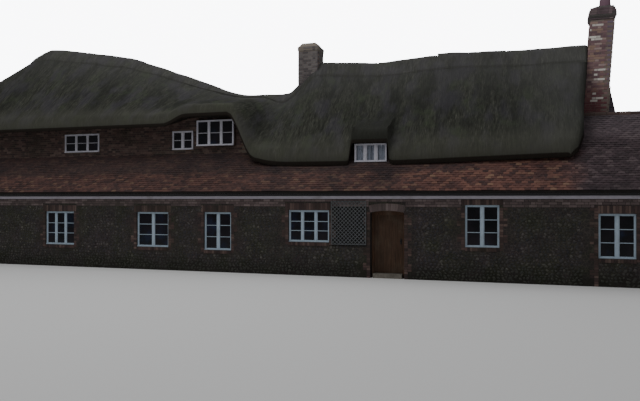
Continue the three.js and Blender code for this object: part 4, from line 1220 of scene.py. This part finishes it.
# Windows: frame, sashes, glazing bars and panes
joinery = {
    "bar": 0.032, "mullion": 0.068, "slim": 0.75, "deep": 0.07, "sash": 0.025, "sashDeep": 0.042,
    "glazing": 0.02, "glazingIn": (0.006, 0.012), "set": 0.008, "nose": (-0.03, 0.01), "noseTall": 0.035,
    "bevel": 0.004, "pane": 0.005, "paneAt": 0.028, "paneLap": 0.006, "paneBevel": 0.001,
}
windows = {  # the wall, the frame's outer face, the opening, and how many lights and rows of panes
    "window_far_left": ("front", -3.39, openings["front"][0], 3, 3),
    "window_left": ("front", -3.39, openings["front"][1], 2, 3),
    "window_tall": ("front", -3.39, openings["front"][2], 2, 3),
    "window_middle": ("front", -3.39, openings["front"][3], 3, 3),
    "window_right": ("front", -3.39, openings["front"][4], 2, 3),
    "window_extension": ("front", -3.39, openings["extension"][0], 2, 3),
    "dormer_right": ("front", -2.55, (2.86, 3.88, 3.48, 4.05), 3, 1),
    "dormer_middle": ("front", -2.2, openings["upper"][0], 3, 2),
    "dormer_left": ("front", -2.09, openings["upper"][1], 2, 2),
    "dormer_far_left": ("front", -2.09, openings["upper"][2], 3, 2),
    "window_back_left": ("back", 3.09, openings["back"][0], 3, 3),
    "window_back_middle": ("back", 3.09, openings["back"][1], 3, 3),
    "window_back_right": ("back", 3.09, openings["back"][2], 3, 3),
}
# Pale curtains in the right-hand dormer, each a gathered sheet hung close behind its panes
curtains = {
    "window": "dormer_right", "x": [(2.91, 3.36), (3.38, 3.83)], "y": -2.455, "z": (3.53, 4.0), "folds": 9,
    "deep": 0.016, "steps": 90, "rows": 8,
}


def makeWindow(name, side, at, opening, lights, rows):
    plane, way = facing(side, at)
    x0, x1, z0, z1 = opening
    low, high = sorted((way * x0, way * x1))
    bar, deep, sash, front = joinery["bar"], joinery["deep"], joinery["sash"], joinery["set"]
    foot, head, back = z0 + bar, z1 - bar, front + joinery["sashDeep"]
    mullion = joinery["mullion"] * (joinery["slim"] if lights > 2 and name != "dormer_right" else 1)
    clear = (high - low - 2 * bar - mullion * (lights - 1)) / lights
    lap, pane, half = joinery["paneLap"], joinery["paneAt"], joinery["glazing"] / 2
    noseFront, noseBack = joinery["nose"]
    wood, glass = bmesh.new(), bmesh.new()
    bars = [
        ((low, 0, z0), (low + bar, deep, z1)), ((high - bar, 0, z0), (high, deep, z1)),
        ((low + bar, 0, head), (high - bar, deep, z1)), ((low + bar, 0, z0), (high - bar, deep, foot)),
        ((low, noseFront, z0), (high, noseBack, z0 + joinery["noseTall"])),
    ]
    for i in range(lights):
        left = low + bar + i * (clear + mullion)
        right = left + clear
        x0, x1, tall = left + sash, right - sash, (head - foot - 2 * sash) / rows
        if i:
            bars.append(((left - mullion, 0, foot), (left, deep, head)))
        bars += [
            ((left, front, foot), (x0, back, head)), ((x1, front, foot), (right, back, head)),
            ((x0, front, head - sash), (x1, back, head)), ((x0, front, foot), (x1, back, foot + sash)),
        ]
        for r in range(1, rows):
            z = foot + sash + tall * r
            y0, y1 = front + joinery["glazingIn"][0], back - joinery["glazingIn"][1]
            bars.append(((x0, y0, z - half), (x1, y1, z + half)))
        corner = (x1 + lap, pane + joinery["pane"], head - sash + lap)
        addBox(glass, (x0 - lap, pane, foot + sash - lap), corner, joinery["paneBevel"])
    for a, b in bars:
        addBox(wood, a, b, joinery["bevel"])
    wood.transform(plane)
    glass.transform(plane)
    paint = "dormerPaint" if "dormer" in name else "whitePaint"
    addPiece(wood, f"{name}_joinery", paint, [name])
    addPiece(glass, f"{name}_panes", "clearGlass" if name == curtains["window"] else "paneGlass")


def makeCurtain(name, x0, x1):
    bm = bmesh.new()
    bmesh.ops.create_grid(bm, x_segments=curtains["steps"], y_segments=curtains["rows"], size=0.5)
    z0, z1 = curtains["z"]
    line = []
    for v in bm.verts:
        across, up = v.co.x + 0.5, v.co.y + 0.5
        wave = math.sin(math.tau * curtains["folds"] * across + 0.6 * math.sin(7 * across) + 0.25 * up)
        v.co = (lerp(x0, x1, across), curtains["y"] + curtains["deep"] * wave, lerp(z0, z1, up))
        if up > 0.999:
            line.append(v.co.copy())
    line.sort(key=lambda p: p.x)
    piece = addPiece(bm, name, "linen", smooth=80)


for name, row in windows.items():
    makeWindow(name, *row)
for i, (x0, x1) in enumerate(curtains["x"]):
    makeCurtain(f"curtain_{i + 1}", x0, x1)

# The two dormers that stand proud: boards that run back through the wall
proud = {"board": 0.045, "bevel": 0.003, "reach": {"dormer_right": 0.8, "dormer_middle": 0.45}}
for name, reach in proud["reach"].items():
    at, (x0, x1, z0, z1) = windows[name][1:3]
    y0, y1, board = at + joinery["deep"], at + reach, proud["board"]
    a0, a1 = x0 + board, x1 - board
    bm = bmesh.new()
    for low, high in (
        ((x0, y0, z0), (a0, y1, z1)), ((a1, y0, z0), (x1, y1, z1)), ((a0, y0, z1 - board), (a1, y1, z1)),
        ((a0, y0, z0), (a1, y1, z0 + board)),
    ):
        addBox(bm, low, high, proud["bevel"])
    addPiece(bm, f"{name}_boards", "frameOak")
print("stage: windows made")

# The front door: upright boards on three ledges, with strap hinges
door = {
    "x": (3.645, 4.525), "y": (-3.194, -3.15), "z": (0.135, 1.863), "boards": 5, "face": 0.026,
    "seam": 0.0006, "bevel": 0.005, "ledges": [0.36, 1.02, 1.58], "ledge": 0.13, "ledgeIn": 0.03,
    "ledgeBevel": 0.004, "pivot": (3.643, -3.142), "hinges": [0.38, 1.56], "pin": 0.007, "pinTall": 0.0447,
    "pinAt": 0.02265, "strap": 0.42, "strapThick": 0.004, "strapZ": (0.0003, 0.045), "strapBevel": 0.001,
    "sunk": 0.001,
}
(x0, x1), (y0, y1), (z0, z1) = door["x"], door["y"], door["z"]
seam, wide, back = door["seam"], (x1 - x0) / door["boards"], y0 + door["face"]
bm = bmesh.new()
for i in range(door["boards"]):
    x = x0 + wide * i
    addBox(bm, (x + seam, y0, z0), (x + wide - seam, back, z1), door["bevel"], 2)
for z in door["ledges"]:
    low, high = (x0 + door["ledgeIn"], back - door["sunk"], z), (x1 - door["ledgeIn"], y1, z + door["ledge"])
    addBox(bm, low, high, door["ledgeBevel"])
addPiece(bm, "door_boards", "doorBrown", ["door_leaf"], "door")
bm = bmesh.new()
pin = {"segments": 20, "radius1": door["pin"], "radius2": door["pin"], "depth": door["pinTall"]}
(pinX, pinY), (foot, head) = door["pivot"], door["strapZ"]
for z in door["hinges"]:
    verts = bmesh.ops.create_cone(bm, cap_ends=True, **pin)["verts"]
    bmesh.ops.translate(bm, vec=(pinX, pinY, z + door["pinAt"]), verts=verts)
    low, high = (pinX, y1 - door["sunk"], z + foot), (x0 + door["strap"], y1 + door["strapThick"], z + head)
    addBox(bm, low, high, door["strapBevel"])
addPiece(bm, "door_straps", "blackIron", body="door")

# Gutter brackets and the collars where its lengths meet
gutter = {
    "y": -3.5406, "z": 2.483, "radius": 0.0622, "thick": 0.003, "x": (-12.4, 12.4), "arc": (202, 352),
    "steps": 10, "straps": [(0.92, 0.024), (1.83, 0.07)],
}


def addStrap(bm, x, wide):
    part = bmesh.new()
    bmesh.ops.create_grid(part, x_segments=1, y_segments=gutter["steps"], size=0.5)
    for v in part.verts:
        angle = math.radians(lerp(*gutter["arc"], v.co.y + 0.5))
        out, rise = math.cos(angle) * gutter["radius"], math.sin(angle) * gutter["radius"]
        v.co = (x + v.co.x * wide, gutter["y"] + out, gutter["z"] + rise)
    faceOut(part)
    bmesh.ops.solidify(part, geom=part.faces[:], thickness=gutter["thick"])
    faceOut(part)
    join(bm, part)


bm = bmesh.new()
x0, x1 = gutter["x"]
for pitch, wide in gutter["straps"]:
    count = int((x1 - x0) / pitch)
    for i in range(count + 1):
        addStrap(bm, x0 + (x1 - x0) * i / count, wide)
addPiece(bm, "gutter_brackets", "blackIron")
print("stage: door and rainwater goods made")


# Diamond trellis: two layers of thin slats inside an edging, on spacers
def addSlat(bm, a, b, y):
    along = Vector((b[0] - a[0], 0, b[1] - a[1]))
    half = trellis["slat"] / 2
    part = bmesh.new()
    addBox(part, (0, 0, -half), (along.length, trellis["thick"], half), 0.001)
    turn = Matrix.Rotation(-math.atan2(along.z, along.x), 4, "Y")
    part.transform(Matrix.Translation((a[0], y, a[1])) @ turn)
    join(bm, part)


(x0, x1), (z0, z1), y0 = trellis["x"], trellis["z"], trellis["y"]
thick, edge, step = trellis["thick"], trellis["edge"], trellis["pitch"] * math.sqrt(2)
low, high, foot = x0 + edge / 2, x1 - edge / 2, z0 + edge / 2
reach, back = z1 - edge / 2 - foot, y0 + 2 * thick
bm = bmesh.new()
for way, y in ((1, y0), (-1, y0 + thick)):
    start, end = (low - reach, high) if way > 0 else (low, high + reach)
    k = 0
    while start + k * step < end:
        x = start + k * step  # where the slat would cross the foot
        near = max(0.0, low - x if way > 0 else x - high)
        far = min(reach, high - x if way > 0 else x - low)
        if far - near > 0.02:
            addSlat(bm, (x + way * near, foot + near), (x + way * far, foot + far), y)
        k += 1
for z in (z0, z1 - edge):
    addBox(bm, (x0, y0, z), (x1, back, z + edge), 0.002)
for x in (x0, x1 - edge):
    addBox(bm, (x, y0, z0 + edge), (x + edge, back, z1 - edge), 0.002)
    for z in (z0, z1 - edge):
        addBox(bm, (x, back, z), (x + edge, trellis["wallY"], z + edge), 0.001)
addPiece(bm, "trellis_slats", "trellisGrey", ["trellis"])
print("stage: trellis made")

# Finishes on the nodes that stay
nodeLooks = {
    "rubble": [
        "front_wall_left", "front_wall_right", "front_wall_over_door", "extension_front_wall",
        "extension_end_wall", "extension_back_wall", "left_end_wall", "back_wall",
    ],
    "brickwork": ["upper_front_wall_left", "upper_front_wall_right", "right_gable_wall", "door_arch"],
    "stackBack": ["left_stack", "right_stack"],
    "stackMortar": ["left_stack_cap"],
    "headMortar": ["right_stack_cap"],
    "flags": ["ground_floor", "extension_floor", "door_threshold"],
    "boards": ["upper_floor"],
    "oak": ["beam_left", "beam_right"],
    "frameOak": ["post_1", "post_2", "post_3", "door_frame"],
    "fasciaPaint": ["fascia"],
    "blackIron": ["gutter", "door_hinge_1", "door_hinge_2", "door_latch"],
    "underlay": [
        "lean_to_tiles_left", "lean_to_tiles_right", "extension_tiles_front", "extension_tiles_back",
    ],
}
for look, names in nodeLooks.items():
    for name in names:
        dress(nodes[name].data, look)

# Floor, sky and lamps
bm = bmesh.new()
bmesh.ops.create_grid(bm, x_segments=1, y_segments=1, size=140)
mesh = keepShape(bm, "floor")
ground = bpy.data.materials.new("ground")
ground.use_nodes = True
shader = ground.node_tree.nodes["Principled BSDF"]
shader.inputs["Base Color"].default_value = (*light["floor"], 1)
shader.inputs["Roughness"].default_value = 0.9
mesh.materials.append(ground)
floor = bpy.data.objects.new("floor", mesh)
scene.collection.objects.link(floor)
floor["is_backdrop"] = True

world = bpy.data.worlds.new("sky")
scene.world = world
world.use_nodes = True
background = world.node_tree.nodes["Background"]
background.inputs["Color"].default_value = (0.95, 0.96, 1.0, 1)
seen = Wire(world.node_tree).node("LightPath", {}, {}, "Is Camera Ray")
strength = seen * (light["sky"] - light["fill"]) + light["fill"]
world.node_tree.links.new(strength.socket, background.inputs["Strength"])

for name, (place, aim, size, energy) in light["lamps"].items():
    lamp = bpy.data.lights.new(name, "AREA")
    lamp.size = size
    lamp.energy = energy
    holder = bpy.data.objects.new(name, lamp)
    holder.location = place
    holder.rotation_euler = (Vector(aim) - Vector(place)).to_track_quat("-Z", "Y").to_euler()
    scene.collection.objects.link(holder)

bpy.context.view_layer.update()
triangles = {}
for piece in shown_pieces():
    if piece.type == "MESH":
        piece.data.calc_loop_triangles()
        triangles[piece.name] = len(piece.data.loop_triangles)
most = max(triangles, key=triangles.get)
print("stage: done,", len(triangles), "pieces,", sum(triangles.values()), "triangles,", most, triangles[most])
